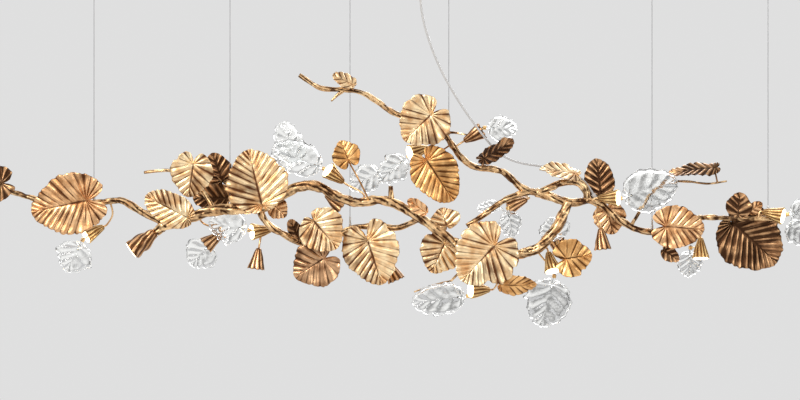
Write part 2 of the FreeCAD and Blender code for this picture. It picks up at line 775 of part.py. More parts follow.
def pinned_glass(lamp, leaves):
    """A glass leaf with its pin, its clip on the lamp's cup, and the clip's grub screw."""
    name, base, toward, roll = leaves[0]
    base = station(*base)
    toward = station(*toward)
    along, across, out = leaf_frame(base, toward, roll)
    clip_front = back_reach(name) + CLIP_GAP
    clip_length = size("clip_length")
    centre = base - along * (clip_front + clip_length / 2)
    pin_start = base - along * (clip_front + clip_length + PIN_BEYOND_CLIP)
    pin_length = (base - pin_start).Length + PIN_IN_GLASS
    pin = Part.makeCylinder(size("pin_radius"), pin_length, pin_start, along)
    glass = glass_sheet(name, base, toward, roll).fuse(pin)
    for second_name, second_base, second_toward, second_roll in leaves[1:]:
        second_base = station(*second_base)
        second = glass_sheet(second_name, second_base, station(*second_toward), second_roll)
        link_start = base + along * 4
        bend = (link_start + second_base) * 0.5 + Vector(0, LINK_BOW, 0)
        link = faceted_tube([link_start, bend, second_base], [LINK_RADIUS] * 3, 8)
        glass = glass.fuse(second).fuse(link)
    glass = largest(glass)

    bore_radius = size("pin_radius") + size("pin_clearance")
    clip_start = centre - along * clip_length / 2
    collar = Part.makeCylinder(size("clip_radius"), clip_length, clip_start, along)
    seat = lamp.base + lamp.axis * lamp.length * ARM_SEAT
    arm_radius = size("clip_arm_radius")
    arm = faceted_tube([centre, (centre + seat) * 0.5, seat], [arm_radius] * 3, 8)
    bore = Part.makeCylinder(bore_radius, clip_length * 3, centre - along * clip_length * 1.5, along)
    grub_way = (centre - seat) - along * (centre - seat).dot(along)
    grub_way.normalize()
    grub_start = centre + grub_way * (bore_radius + size("seat_clearance"))
    grub = Part.makeCylinder(size("grub_radius"), size("grub_length"), grub_start, grub_way)
    grub_hole = Part.makeCylinder(
        size("grub_radius") + size("seat_clearance"), size("clip_radius"), centre, grub_way)
    clip = collar.fuse(arm).cut(bore).cut(grub_hole)
    clip = cut_by(clip, [lamp.outside, lamp.diffuser])
    return glass, clip, grub, centre, along


hinges = {}
clips = []
grub_screws = []
for lamp_name, leaves in GLASS_LEAVES.items():
    glass, clip, grub, centre, along = pinned_glass(lamps[lamp_name], leaves)
    add_feature("glass_leaf_" + lamp_name, [glass])
    clips.append(clip)
    grub_screws.append(grub)
    hinges[lamp_name] = (centre, along)
add_feature("leaf_clips", clips)
add_feature("grub_screws", grub_screws)

# ---------------------------------------------------------------- suspension


def seen_across(point):
    spread = 1.0 + point.y / VIEWER_DISTANCE
    return VIEWER_ACROSS + (point.x - VIEWER_ACROSS) / spread


def hanging_point(limb_name, across):
    """The point of a limb's spine that is seen at a distance across the elevation."""
    spine = spines[limb_name]
    for start, end in zip(spine, spine[1:]):
        low = seen_across(start)
        high = seen_across(end)
        if low <= across < high:
            return start + (end - start) * ((across - low) / (high - low))
    raise ValueError("the %s isn't there at %g" % (limb_name, across))


# Each wire: its name, the limb that it carries and where it is seen across the elevation.
WIRES = {
    "wire_far_left": ("left_limb", -815.0),
    "wire_left": ("trunk_limb", -475.0),
    "wire_rear": ("rear_loop_limb", -175.0),
    "wire_upper": ("upper_limb", 72.0),
    "wire_right": ("right_limb", 580.0),
    "wire_far_right": ("right_limb", 870.0),
}


def bound(kind, label, **expressions):
    """A Part primitive whose sizes are bound to the sheet."""
    primitive = doc.addObject(kind, label)
    for name, expression in expressions.items():
        primitive.setExpression(name, expression)
    return primitive


def boolean(kind, label, base, tool):
    result = doc.addObject(kind, label)
    result.Base = base
    result.Tool = tool
    return result


def low_centre(radius, height, label, top):
    """A cylinder that hangs below a height that is given as an expression."""
    cylinder = bound("Part::Cylinder", label, Radius=radius, Height=height)
    cylinder.setExpression("Placement.Base.z", "(%s) - (%s)" % (top, height))
    return cylinder


flange = low_centre("sizes.anchor_radius", "sizes.anchor_flange", "anchor_flange_disc", "0")
spigot = low_centre(
    "sizes.anchor_spigot_radius", "sizes.anchor_spigot_length", "anchor_spigot",
    "-sizes.anchor_flange")
recess = low_centre(
    "sizes.anchor_recess_radius", "sizes.anchor_spigot_length", "anchor_recess",
    "-sizes.anchor_flange")
anchor_hole = low_centre(
    "sizes.anchor_hole_radius", "sizes.anchor_flange", "anchor_hole", "0")
anchor_body = boolean("Part::Fuse", "anchor_body", flange, spigot)
anchor_open = boolean("Part::Cut", "anchor_open", anchor_body, recess)
anchor = boolean("Part::Cut", "anchor", anchor_open, anchor_hole)

cap_body = low_centre(
    "sizes.anchor_radius - 1", "sizes.cap_length", "cap_body", "-sizes.anchor_flange")
cap_inside = low_centre(
    "sizes.anchor_spigot_radius + sizes.seat_clearance", "sizes.cap_length - sizes.cap_floor",
    "cap_inside", "-sizes.anchor_flange")
cap_way = low_centre(
    "sizes.wire_radius + sizes.screw_clearance", "sizes.cap_length", "cap_way",
    "-sizes.anchor_flange")
cap_open = boolean("Part::Cut", "cap_open", cap_body, cap_inside)
cap = boolean("Part::Cut", "cap", cap_open, cap_way)
doc.recompute()

stop_seat = -size("anchor_flange") - size("cap_length") + size("cap_floor")
anchors = []
caps = []
stops = []
studs = []
ferrules = []
wire_tops = {}
for wire_name, (limb_name, across) in WIRES.items():
    foot = hanging_point(limb_name, across)
    over = Vector(foot.x, foot.y, 0)
    anchors.append(anchor.Shape.translated(over))
    caps.append(cap.Shape.translated(over))
    stops.append(Part.makeCylinder(
        size("stop_radius"), size("stop_length"), over + Vector(0, 0, stop_seat)))
    stud = Part.makeCylinder(size("stud_radius"), size("stud_height"), foot)
    studs.append(cut_by(stud, [limbs[limb_name]]))
    stud_top = foot + Vector(0, 0, size("stud_height"))
    ferrules.append(Part.makeCylinder(size("ferrule_radius"), size("ferrule_length"), stud_top))
    wire_foot = stud_top + Vector(0, 0, size("ferrule_length"))
    wire_tops[wire_name] = over
    wire = doc.addObject("Part::Cylinder", wire_name)
    wire.setExpression("Radius", "sizes.wire_radius")
    wire.Height = stop_seat - wire_foot.z
    wire.Placement.Base = wire_foot
add_feature("ceiling_anchors", anchors)
add_feature("anchor_caps", caps)
add_feature("wire_stops", stops)
add_feature("hanger_studs", studs)
add_feature("wire_ferrules", ferrules)

# ---------------------------------------------------------------- power cord

CORD_ROUTE = [
    (0, 0, -50), (0, 0, -92), (9, -2, -148), (27, -6, -206), (50, -12, -262), (78, -20, -315),
    (110, -28, -366), (143, -34, -412), (172, -30, -449), (204, -18, -480), (245, -5, -497),
    (290, 8, -504), (338, 14, -508), (376, 13, -518), (406, 8, -537), (423, 3, -557),
    (433, 0, -575),
]
CORNER_SHARE = 0.45


def tangent_route(points):
    """Straight runs joined by tangent arcs, as one wire, and the arcs' radii."""
    edges = []
    radii = []
    at = points[0]
    for before, corner, after in zip(points, points[1:], points[2:]):
        back = before - corner
        ahead = after - corner
        reach = CORNER_SHARE * min(back.Length, ahead.Length)
        half_turn = (math.pi - back.getAngle(ahead)) / 2
        radius = reach / math.tan(half_turn)
        back.normalize()
        ahead.normalize()
        start = corner + back * reach
        end = corner + ahead * reach
        inward = back + ahead
        inward.normalize()
        middle = corner + inward * (radius / math.cos(half_turn) - radius)
        edges.append(Part.LineSegment(at, start).toShape())
        edges.append(Part.Arc(start, middle, end).toShape())
        radii.append(radius)
        at = end
    edges.append(Part.LineSegment(at, points[-1]).toShape())
    return Part.Wire(edges), radii


cord_points = [Vector(*point) for point in CORD_ROUTE]
cord_wire, cord_bends = tangent_route(cord_points)
cord_section = Part.Wire(Part.makeCircle(
    size("cord_radius"), cord_points[0], cord_points[1] - cord_points[0]))
cord = cord_wire.makePipeShell([cord_section], True, False)
add_feature("power_cord", [cord.Solids[0] if cord.Solids else cord])
print("cord length %.0f, smallest bend radius %.0f" % (cord_wire.Length, min(cord_bends)))
section_volume = math.pi * size("cord_radius") ** 2 * cord_wire.Length
print("cord volume over section times length %.4f" % (cord.Volume / section_volume))

gland_way = cord_points[-1] - cord_points[-2]
gland = Part.makeCylinder(size("gland_radius"), size("gland_length"), cord_points[-1], gland_way)
add_feature("cord_gland", [cut_by(gland, [limbs["right_limb"], limbs["upper_limb"]])])

# ---------------------------------------------------------------- canopy

cover = doc.addObject("PartDesign::Body", "cover_body")
ceiling_plane = [
    feature for feature in cover.Origin.OriginFeatures if feature.Role == "XY_Plane"][0]


def circle_sketch(label, radius, depth):
    """A circle round the canopy's axis, at a depth below the ceiling."""
    sketch = cover.newObject("Sketcher::SketchObject", label)
    sketch.AttachmentSupport = (ceiling_plane, [""])
    sketch.MapMode = "FlatFace"
    sketch.setExpression("AttachmentOffset.Base.z", "-(%s)" % depth)
    sketch.addGeometry(Part.Circle(Vector(0, 0, 0), Vector(0, 0, 1), 10.0))
    sketch.addConstraint(Sketcher.Constraint("Coincident", 0, 3, -1, 1))
    sketch.addConstraint(Sketcher.Constraint("Radius", 0, 10.0))
    sketch.setExpression("Constraints[1]", radius)
    return sketch


outer_sketch = circle_sketch("cover_outside", "sizes.canopy_radius", "0")
cover_pad = cover.newObject("PartDesign::Pad", "cover_pad")
cover_pad.Profile = outer_sketch
cover_pad.setExpression("Length", "sizes.canopy_depth")
cover_pad.Reversed = True
doc.recompute()
edge_names = [
    "Edge%d" % (index + 1) for index, edge in enumerate(cover_pad.Shape.Edges)
    if edge.BoundBox.ZMax < -size("canopy_depth") + 0.01 and edge.Closed
]
cover_round = cover.newObject("PartDesign::Fillet", "cover_round")
cover_round.Base = (cover_pad, edge_names)
cover_round.setExpression("Radius", "sizes.canopy_edge_round")
inner_sketch = circle_sketch("cover_inside", "sizes.canopy_radius - sizes.canopy_wall", "0")
cover_pocket = cover.newObject("PartDesign::Pocket", "cover_pocket")
cover_pocket.Profile = inner_sketch
cover_pocket.setExpression("Length", "sizes.canopy_depth - sizes.canopy_edge_round")
hole_sketch = circle_sketch("cover_hole", "sizes.grip_thread_radius + sizes.screw_clearance", "0")
cover_hole = cover.newObject("PartDesign::Pocket", "cover_hole_pocket")
cover_hole.Profile = hole_sketch
cover_hole.setExpression("Length", "sizes.canopy_depth + 1")
doc.recompute()

def box(label, length, width, height, x, y, top):
    """A bound box centred at x, y, with its top at a height given as an expression."""
    block = bound("Part::Box", label, Length=length, Width=width, Height=height)
    block.setExpression("Placement.Base.x", "(%s) - (%s) / 2" % (x, length))
    block.setExpression("Placement.Base.y", "(%s) - (%s) / 2" % (y, width))
    block.setExpression("Placement.Base.z", "(%s) - (%s)" % (top, height))
    return block


def round_hole(label, radius, x, y, height="sizes.plate_thickness"):
    hole = low_centre(radius, height, label, "0")
    hole.setExpression("Placement.Base.x", x)
    hole.setExpression("Placement.Base.y", y)
    return hole


TAB_FACE = "sizes.canopy_radius - sizes.canopy_wall - 1"
plate_bar = box(
    "plate_bar", "sizes.plate_length", "sizes.plate_width", "sizes.plate_thickness", "0", "0", "0")
plate_arms = box(
    "plate_arms", "2 * (%s)" % TAB_FACE, "sizes.tab_width", "sizes.plate_thickness", "0", "0", "0")
plate_body = boolean("Part::Fuse", "plate_body", plate_bar, plate_arms)
for side_name, side_sign in (("left", "-1"), ("right", "1")):
    tab = box(
        "plate_tab_" + side_name, "sizes.plate_thickness", "sizes.tab_width", "sizes.tab_drop",
        "%s * (%s - sizes.plate_thickness / 2)" % (side_sign, TAB_FACE), "0", "0")
    plate_body = boolean("Part::Fuse", "plate_with_%s_tab" % side_name, plate_body, tab)
    ceiling_hole = round_hole(
        "plate_hole_" + side_name, "sizes.plate_hole_radius",
        "%s * sizes.plate_hole_spacing / 2" % side_sign, "0")
    plate_body = boolean("Part::Cut", "plate_cut_" + side_name, plate_body, ceiling_hole)
mains_hole = round_hole(
    "mains_hole", "sizes.mains_hole_radius",
    "-(sizes.plate_length + sizes.driver_length) / 4", "sizes.terminal_offset")
plate_body = boolean("Part::Cut", "plate_with_mains_hole", plate_body, mains_hole)
tab_bore = bound(
    "Part::Cylinder", "tab_bore", Radius="sizes.screw_radius + sizes.seat_clearance",
    Height="2 * sizes.canopy_radius")
tab_bore.Placement = FreeCAD.Placement(Vector(), Rotation(Vector(0, 1, 0), 90))
tab_bore.setExpression("Placement.Base.x", "-sizes.canopy_radius")
tab_bore.setExpression("Placement.Base.z", "-sizes.screw_drop")
mounting_plate = boolean("Part::Cut", "mounting_plate", plate_body, tab_bore)

cover_bore = bound(
    "Part::Cylinder", "cover_bore", Radius="sizes.screw_radius + sizes.screw_clearance",
    Height="4 * sizes.canopy_radius")
cover_bore.Placement = FreeCAD.Placement(Vector(), Rotation(Vector(0, 1, 0), 90))
cover_bore.setExpression("Placement.Base.x", "-2 * sizes.canopy_radius")
cover_bore.setExpression("Placement.Base.z", "-sizes.screw_drop")
canopy_cover = boolean("Part::Cut", "canopy_cover", cover, cover_bore)

driver_block = box(
    "driver_block", "sizes.driver_length", "sizes.driver_width", "sizes.driver_height",
    "0", "-sizes.driver_width / 4", "-sizes.plate_thickness")
doc.recompute()
led_driver = doc.addObject("Part::Fillet", "led_driver")
led_driver.Base = driver_block
led_driver.Edges = [
    (index + 1, size("driver_round"), size("driver_round"))
    for index, edge in enumerate(driver_block.Shape.Edges)
    if edge.BoundBox.ZLength > size("driver_height") / 2
]

terminal_body = box(
    "terminal_body", "sizes.terminal_length", "sizes.terminal_width", "sizes.terminal_height",
    "0", "sizes.terminal_offset", "-sizes.plate_thickness")
terminal_block = terminal_body
for index in (-1, 0, 1):
    way = bound(
        "Part::Cylinder", "terminal_way_%d" % (index + 1),
        Radius="sizes.terminal_hole_radius", Height="sizes.terminal_width")
    way.Placement = FreeCAD.Placement(Vector(), Rotation(Vector(1, 0, 0), -90))
    way.setExpression("Placement.Base.x", "%d * sizes.terminal_hole_spacing" % index)
    way.setExpression("Placement.Base.y", "sizes.terminal_offset - sizes.terminal_width / 2")
    way.setExpression(
        "Placement.Base.z", "-sizes.plate_thickness - sizes.terminal_height / 2")
    terminal_block = boolean(
        "Part::Cut", "terminal_block_%d" % (index + 1), terminal_block, way)
terminal_block.Label = "terminal_block"

side_screws = []
for sign in (-1, 1):
    way = Vector(sign, 0, 0)
    head_seat = Vector(sign * size("canopy_radius"), 0, -size("screw_drop"))
    shank = Part.makeCylinder(size("screw_radius"), size("screw_length"), head_seat, way * -1)
    head = Part.makeCylinder(size("screw_head_radius"), size("screw_head_height"), head_seat, way)
    side_screws.append(shank.fuse(head).removeSplitter())
add_feature("canopy_screws", side_screws)

grip_foot = Vector(0, 0, -size("canopy_depth") - size("grip_length"))
grip_half = size("grip_length") / 2
grip_cone = Part.makeCone(
    size("grip_nose_radius"), size("grip_radius"), grip_half, grip_foot)
grip_body = Part.makeCylinder(
    size("grip_radius"), grip_half, grip_foot + Vector(0, 0, grip_half))
grip_thread = Part.makeCylinder(
    size("grip_thread_radius"), size("grip_thread_length"), Vector(0, 0, -size("canopy_depth")))
add_feature("cord_grip", [grip_cone.fuse(grip_body).fuse(grip_thread).removeSplitter()])
doc.recompute()

# ---------------------------------------------------------------- check and export

NODE_OBJECTS = {
    "canopy_cover": canopy_cover,
    "mounting_plate": mounting_plate,
    "led_driver": led_driver,
    "terminal_block": terminal_block,
}
MADE_NODES = (
    list(spines) + ["short_spurs"] + list(LEAVES)
    + ["lamp_cups", "lamp_stems", "led_modules", "lamp_diffusers"]
    + ["glass_leaf_" + name for name in GLASS_LEAVES] + ["leaf_clips", "grub_screws"]
    + ["ceiling_anchors", "anchor_caps", "wire_stops", "hanger_studs", "wire_ferrules"]
    + list(WIRES) + ["power_cord", "cord_gland", "canopy_screws", "cord_grip"]
)
for name in MADE_NODES:
    NODE_OBJECTS[name] = doc.getObject(name)

for feature in doc.Objects:
    if "Invalid" in feature.State or "Error" in feature.State:
        raise RuntimeError("%s failed to compute" % feature.Label)
for name, feature in NODE_OBJECTS.items():
    if feature.Shape.isNull() or not feature.Shape.isValid() or not feature.Shape.Solids:
        raise RuntimeError("%s has no valid solid" % name)

os.makedirs("parts", exist_ok=True)
for name, feature in NODE_OBJECTS.items():
    feature.Shape.exportStep("parts/%s.step" % name)
print("%d nodes written" % len(NODE_OBJECTS))
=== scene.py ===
import math

import bmesh
import bpy
from mathutils import Matrix, Vector, noise

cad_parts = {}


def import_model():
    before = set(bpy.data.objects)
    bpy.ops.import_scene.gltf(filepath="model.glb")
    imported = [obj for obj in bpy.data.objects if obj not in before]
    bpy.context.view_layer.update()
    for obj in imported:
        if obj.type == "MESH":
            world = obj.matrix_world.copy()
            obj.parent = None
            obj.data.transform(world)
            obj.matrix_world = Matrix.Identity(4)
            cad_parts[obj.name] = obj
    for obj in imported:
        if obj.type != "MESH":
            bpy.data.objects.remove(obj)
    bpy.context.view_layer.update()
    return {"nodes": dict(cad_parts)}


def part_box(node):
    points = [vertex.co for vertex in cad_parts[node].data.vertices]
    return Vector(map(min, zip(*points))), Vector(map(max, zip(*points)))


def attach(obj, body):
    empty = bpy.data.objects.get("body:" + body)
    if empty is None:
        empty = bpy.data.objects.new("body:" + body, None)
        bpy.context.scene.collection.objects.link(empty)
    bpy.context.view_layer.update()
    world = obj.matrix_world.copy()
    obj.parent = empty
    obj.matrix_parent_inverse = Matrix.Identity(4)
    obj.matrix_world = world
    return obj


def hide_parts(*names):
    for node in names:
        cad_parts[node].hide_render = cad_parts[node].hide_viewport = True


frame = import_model()
NODES = frame["nodes"]
ROOT = "branch"

# A two metre cast branch with pleated metal leaves, fluted lamp cups and glass leaves, hung
# from six wires. Lengths in the tables are millimetres; everything built is in metres.
MM = 0.001
# Points nearer to each other than this become one.
MERGE_WITHIN = 0.00002

# ---------------------------------------------------------------- the front elevation

# Stations are (across, height, depth) as a viewer this far in front of the branch sees them.
VIEWER_DISTANCE = 6000.0
VIEWER_ACROSS = -50.0
VIEWER_HEIGHT = -590.0
FRONT = Vector((0, -1, 0))


def station(across, height, depth=0.0):
    spread = 1.0 + depth / VIEWER_DISTANCE
    x = VIEWER_ACROSS + (across - VIEWER_ACROSS) * spread
    z = VIEWER_HEIGHT + (height - VIEWER_HEIGHT) * spread
    return Vector((x, depth, z)) * MM


# Radii of each limb at its first and last station, and its stations.
LIMB_ENDS = {
    "trunk_limb": (14.0, 10.5),
    "left_limb": (6.0, 9.5),
    "upper_limb": (5.5, 9.5),
    "right_limb": (10.5, 5.5),
    "lower_right_limb": (11.5, 13.0),
    "centre_twig": (8.0, 6.5),
    "rear_loop_limb": (8.5, 7.0),
    "left_twig": (3.4, 6.2),
    "right_twig": (4.5, 2.2),
}

LIMB_STATIONS = {
    "trunk_limb": [
        (-637.6, -653.2, 0), (-587.5, -637.5, -3), (-525, -617.5, -4), (-450, -611, 0),
        (-395, -607.5, 0), (-350, -582.5, 4), (-305, -557.5, 4), (-270, -554, 2),
        (-235, -565, 0), (-200, -585, 0), (-155, -595, 2), (-100, -590, 4),
        (-50, -605, 2), (0, -635, 0), (50, -670, 0), (90, -700, 0),
    ],
    "left_limb": [
        (-1065, -554, -22), (-1000, -576, -22), (-937, -592, -18), (-862, -599, -10),
        (-800, -596, -6), (-755, -591, -4), (-725, -602, -2), (-692, -621, 0),
        (-650, -640, 2), (-614, -647, 0),
    ],
    "upper_limb": [
        (-302, -278, -15), (-275, -295, -17), (-245, -311, -20), (-187, -315, -20),
        (-145, -322, -16), (-105, -345, -10), (-62, -374, -5), (-12, -387, 0),
        (30, -407, 0), (62, -429, 0), (82, -455, 0), (105, -486, 2), (137, -507, 5),
        (175, -511, 4), (207, -519, 2), (235, -544, 0), (260, -562, 0), (296, -571, -2),
        (325, -560, -4), (352, -548, -4), (380, -544, -4), (402, -551, -3), (415, -569, -1),
        (419, -592, 2),
    ],
    "right_limb": [
        (290, -571, 0), (325, -581, 4), (350, -591, 5), (382, -596, 4), (420, -592, 2),
        (450, -600, 0), (475, -620, 5), (497, -639, 12), (525, -655, 24), (555, -666, 35),
        (587, -670, 40), (630, -662, 36), (670, -645, 28), (705, -634, 18), (750, -635, 8),
        (812, -637, 0), (862, -636, 0), (897, -637, 0),
    ],
    "lower_right_limb": [
        (82, -695, 0), (110, -709, 8), (137, -718, 14), (195, -725, 14), (250, -724, 5),
        (290, -712, 0), (320, -687, 0), (345, -652, 0), (362, -617, 2), (374, -594, 4),
    ],
    "centre_twig": [
        (283, -568, 0), (245, -576, -1), (207, -594, -3), (175, -616, -5), (145, -637, -6),
        (117, -655, -6),
    ],
    "rear_loop_limb": [
        (-402, -608, 0), (-392, -634, 5), (-370, -659, 12), (-335, -679, 28),
        (-300, -696, 45), (-260, -702, 65), (-220, -690, 85), (-185, -667, 95),
        (-150, -657, 92), (-105, -656, 80), (-62, -660, 62), (-30, -651, 40),
        (-8, -640, 16), (4, -638, 2),
    ],
    "left_twig": [
        (-690, -521, 20), (-655, -517, 20), (-620, -517, 18), (-580, -535, 14),
        (-545, -567, 10), (-522, -600, 4), (-514, -615, 0),
    ],
    "right_twig": [
        (527, -657, 26), (548, -620, 50), (580, -572, 64), (620, -546, 62), (670, -544, 54),
        (720, -549, 48), (767, -543, 45),
    ],
}

# Short dead spurs: start, end, limb and the two radii.
SPURS = [
    ((-72, -593, 4), (-73, -555, 2), "trunk_limb", 7.5, 6.5),
    ((-190, -316, -20), (-222, -343, -22), "upper_limb", 5.0, 2.2),
    ((52, -421, -2), (118, -427, -26), "upper_limb", 4.0, 1.8),
    ((150, -722, 14), (78, -792, 72), "lower_right_limb", 4.0, 2.6),
    ((78, -792, 72), (-15, -820, 72), None, 2.6, 1.8),
]

# Each metal leaf: stalk end, a point that the tip looks to, length, half width, back lobes,
# roll, fold, its limb, bends of its stalk and its tone.
LEAVES = {
    "left_limb_leaves": [
        ("left_end", (-1047, -549, -42), (-1127, -566, -42), 82, 50, 0.9, 18, 8,
         "left_limb", [], "dark"),
        ("broad_left", (-835, -592, -34), (-972, -620, -38), 140, 77, 0.85, 0, 4,
         "left_limb", [], "copper"),
    ],
    "left_twig_leaves": [
        ("left_twig_front", (-567, -500, -14), (-580, -582, -12), 84, 53, 0.75, 0, 6,
         "left_twig", [], "pale"),
        ("left_twig_dark", (-495, -541, 112), (-522, -471, 114), 75, 38, 0.6, -12, 0,
         "left_twig", [(-538, -543, 24), (-514, -526, 80)], "dark"),
        ("left_twig_folded", (-475, -586, 78), (-570, -584, 78), 95, 38, 0.3, 8, 0,
         "trunk_limb", [(-472, -590, 32)], "dark"),
    ],
    "trunk_leaves": [
        ("trunk_start", (-582, -634, -32), (-665, -592, -32), 118, 44, 0.5, -6, 0,
         "trunk_limb", [], "pale"),
        ("tall_trunk", (-395, -600, -30), (-430, -465, -34), 140, 80, 0.3, 0, 5,
         "trunk_limb", [], "pale"),
        ("under_trunk", (-365, -603, 22), (-335, -632, 24), 42, 28, 0.5, 0, 0,
         "trunk_limb", [], "copper"),
    ],
    "loop_front_leaf": [
        ("loop_front", (-265, -642, -14), (-207, -710, -18), 90, 60, 0.45, 0, 4,
         "rear_loop_limb", [(-252, -676, 24)], "pale"),
    ],
    "loop_low_leaves": [
        ("loop_low", (-242, -738, 14), (-310, -782, 10), 84, 62, 0.75, 0, -4,
         "rear_loop_limb", [], "brown"),
        ("loop_dark", (-300, -690, 34), (-325, -641, 28), 58, 20, 0.4, 0, 0,
         "rear_loop_limb", [], "dark"),
    ],
    "loop_right_leaf": [
        ("loop_right", (-130, -692, 34), (-95, -802, 30), 116, 72, 0.95, 0, 5,
         "rear_loop_limb", [], "pale"),
    ],
    "middle_trunk_leaves": [
        ("trunk_hanging", (62, -700, 30), (30, -767, 32), 80, 56, 0.7, 0, 4,
         "trunk_limb", [], "pale"),
        ("trunk_rear", (67, -655, 24), (52, -612, 26), 48, 40, 0.3, 0, 0,
         "trunk_limb", [], "pale"),
        ("trunk_bud", (15, -622, -8), (-30, -589, -8), 56, 18, 0.3, 0, 12,
         "trunk_limb", [], "copper"),
        ("stalked_round", (-180, -488, -46), (-197, -445, -46), 50, 36, 0.8, 8, 0,
         "trunk_limb", [(-130, -588, -8), (-150, -545, -30)], "orange"),
    ],
    "great_front_leaf": [
        ("great_front", (185, -705, -64), (107, -790, -70), 118, 80, 0.8, 0, 4,
         "lower_right_limb", [], "pale"),
    ],
    "upper_limb_leaves": [
        ("upper_bright", (27, -377, -44), (-37, -440, -46), 92, 66, 0.75, 0, 4,
         "upper_limb", [], "pale"),
        ("upper_hanging", (17, -492, -26), (82, -590, -24), 120, 60, 0.7, 0, 4,
         "upper_limb", [(80, -450, 2), (50, -470, 4)], "orange"),
        ("upper_edge", (-168, -302, -36), (-215, -275, -36), 56, 32, 0.3, 50, 0,
         "upper_limb", [], "pale"),
        ("upper_dark", (160, -485, -74), (235, -445, -76), 86, 40, 0.6, 58, 0,
         "upper_limb", [], "dark"),
    ],
    "fork_leaves": [
        ("fork_bright", (387, -525, -40), (302, -505, -40), 88, 42, 0.5, 60, 0,
         "upper_limb", [], "pale"),
        ("fork_upright", (452, -578, 44), (442, -490, 46), 94, 40, 0.4, 0, 10,
         "right_limb", [], "dark"),
        ("fork_lower", (470, -612, 36), (482, -675, 38), 66, 42, 0.5, 0, 0,
         "right_limb", [], "copper"),
    ],
    "lower_right_leaves": [
        ("low_herringbone", (202, -802, 4), (300, -808, 4), 90, 36, 0.3, 40, 0,
         "lower_right_limb", [], "orange"),
        ("low_round", (367, -737, -24), (430, -727, -26), 64, 48, 0.9, 0, 5,
         "lower_right_limb", [], "orange"),
    ],
    "right_limb_leaves": [
        ("right_high", (738, -510, 50), (620, -515, 54), 118, 34, 0.5, 58, 0,
         "right_twig", [], "dark"),
        ("right_front", (616, -656, -28), (711, -664, -30), 96, 54, 0.95, 0, 4,
         "right_limb", [], "copper"),
        ("right_large_dark", (782, -648, 34), (897, -750, 36), 152, 84, 0.4, 0, 4,
         "right_limb", [], "dark"),
        ("right_upright", (795, -626, -14), (800, -575, -14), 56, 34, 0.3, 0, 0,
         "right_limb", [], "dark"),
        ("right_small", (822, -620, 18), (854, -598, 20), 42, 16, 0.3, 0, 0,
         "right_limb", [], "copper"),
        ("right_low_dark", (610, -715, 22), (647, -742, 22), 46, 20, 0.4, 0, 0,
         "right_limb", [], "dark"),
    ],
}


# Each glass leaf: stalk end, a point that the tip looks to, length and half width.
GLASS_LEAVES = {
    "far_left": [
        ("far_left", (-852, -707, 8), (-885, -770, 6), 72, 48),
    ],
    "left_low": [
        ("left_low", (-532, -708, 112), (-575, -755, 114), 64, 46),
    ],
    "left_trunk": [
        ("left_trunk", (-445, -662, 34), (-530, -645, 32), 86, 46),
    ],
    "long": [
        ("long", (-257, -505, 26), (-375, -457, 28), 124, 46),
        ("long_back", (-307, -490, 46), (-352, -393, 48), 106, 40),
    ],
    "middle": [
        ("middle", (-42, -492, 60), (-105, -542, 60), 78, 40),
        ("middle_back", (-107, -522, 70), (-177, -560, 70), 80, 38),
    ],
    "low": [
        ("low", (102, -832, 24), (-22, -847, 24), 124, 44),
    ],
    "low_round": [
        ("low_round", (330, -802, 54), (302, -910, 54), 110, 62),
    ],
    "fork": [
        ("fork", (522, -580, 2), (647, -542, 4), 130, 58),
    ],
    "right_end": [
        ("right_end", (932, -622, 2), (1005, -600, 4), 76, 30),
        ("right_end_low", (925, -655, 8), (980, -697, 8), 72, 34),
    ],
    "upper": [
        ("upper", (177, -410, 26), (245, -412, 26), 68, 34),
    ],
    "twig": [
        ("twig", (222, -625, 8), (232, -687, 6), 62, 30),
        ("twig_back", (196, -604, 26), (142, -610, 26), 54, 18),
    ],
    "rear": [
        ("rear", (340, -680, 24), (327, -632, 24), 50, 42),
    ],
    "right_low": [
        ("right_low", (675, -725, 70), (670, -785, 70), 60, 34),
    ],
}

# Lamp cups: the middle of the mouth, the way it faces, and which cup.
LAMPS = {
    "far_left": ((-835, -680, 45), (-0.82, -0.35, -0.45), "plain"),
    "left_low": ((-535, -703, 74), (-0.8, 0, -0.6), "plain"),
    "left_trunk": ((-420, -670, 64), (-0.93, -0.35, -0.1), "plain"),
    "long": ((-230, -516, -8), (-0.74, -0.35, 0.57), "plain"),
    "middle": ((-25, -473, 30), (-0.9, -0.35, -0.26), "plain"),
    "low": ((127, -815, -8), (-0.93, -0.35, 0), "plain"),
    "low_round": ((332, -767, 8), (0.2, -0.35, -0.91), "plain"),
    "fork": ((495, -585, -32), (0.94, -0.35, 0), "plain"),
    "right_end": ((907, -630, -32), (0.91, -0.35, -0.21), "plain"),
    "upper": ((155, -417, -6), (0.87, 0, 0.5), "plain"),
    "twig": ((220, -607, 40), (-0.93, 0, -0.37), "plain"),
    "rear": ((340, -690, 62), (-0.35, 0, 0.94), "plain"),
    "right_low": ((702, -735, 32), (0, -0.12, -0.99), "plain"),
    "trunk_end": ((-720, -715, 0), (-0.8, 0, -0.6), "end"),
    "drop_left": ((-410, -761, 64), (-0.14, 0, -0.99), "plain"),
    "drop_right": ((457, -712, -18), (0.1, 0, -0.99), "plain"),
    "loop_side": ((-60, -790, 80), (0.4, 0, -0.92), "plain"),
    "under_trunk": ((-195, -607, 40), (0.8, 0, -0.6), "plain"),
}

# ---------------------------------------------------------------- mesh helpers


def curve_through(stations, spacing):
    """Points about `spacing` apart on a smooth curve through the stations."""
    ends = [stations[0] * 2 - stations[1]] + list(stations) + [stations[-1] * 2 - stations[-2]]
    path = []
    for before, start, end, after in zip(ends, ends[1:], ends[2:], ends[3:]):
        steps = max(1, round((end - start).length / spacing))
        for step in range(steps):
            t = step / steps
            path.append(
                (start * 2 + (end - before) * t
                 + (before * 2 - start * 5 + end * 4 - after) * t ** 2
                 + (start * 3 - before - end * 3 + after) * t ** 3) * 0.5
            )
    path.append(stations[-1])
    return path


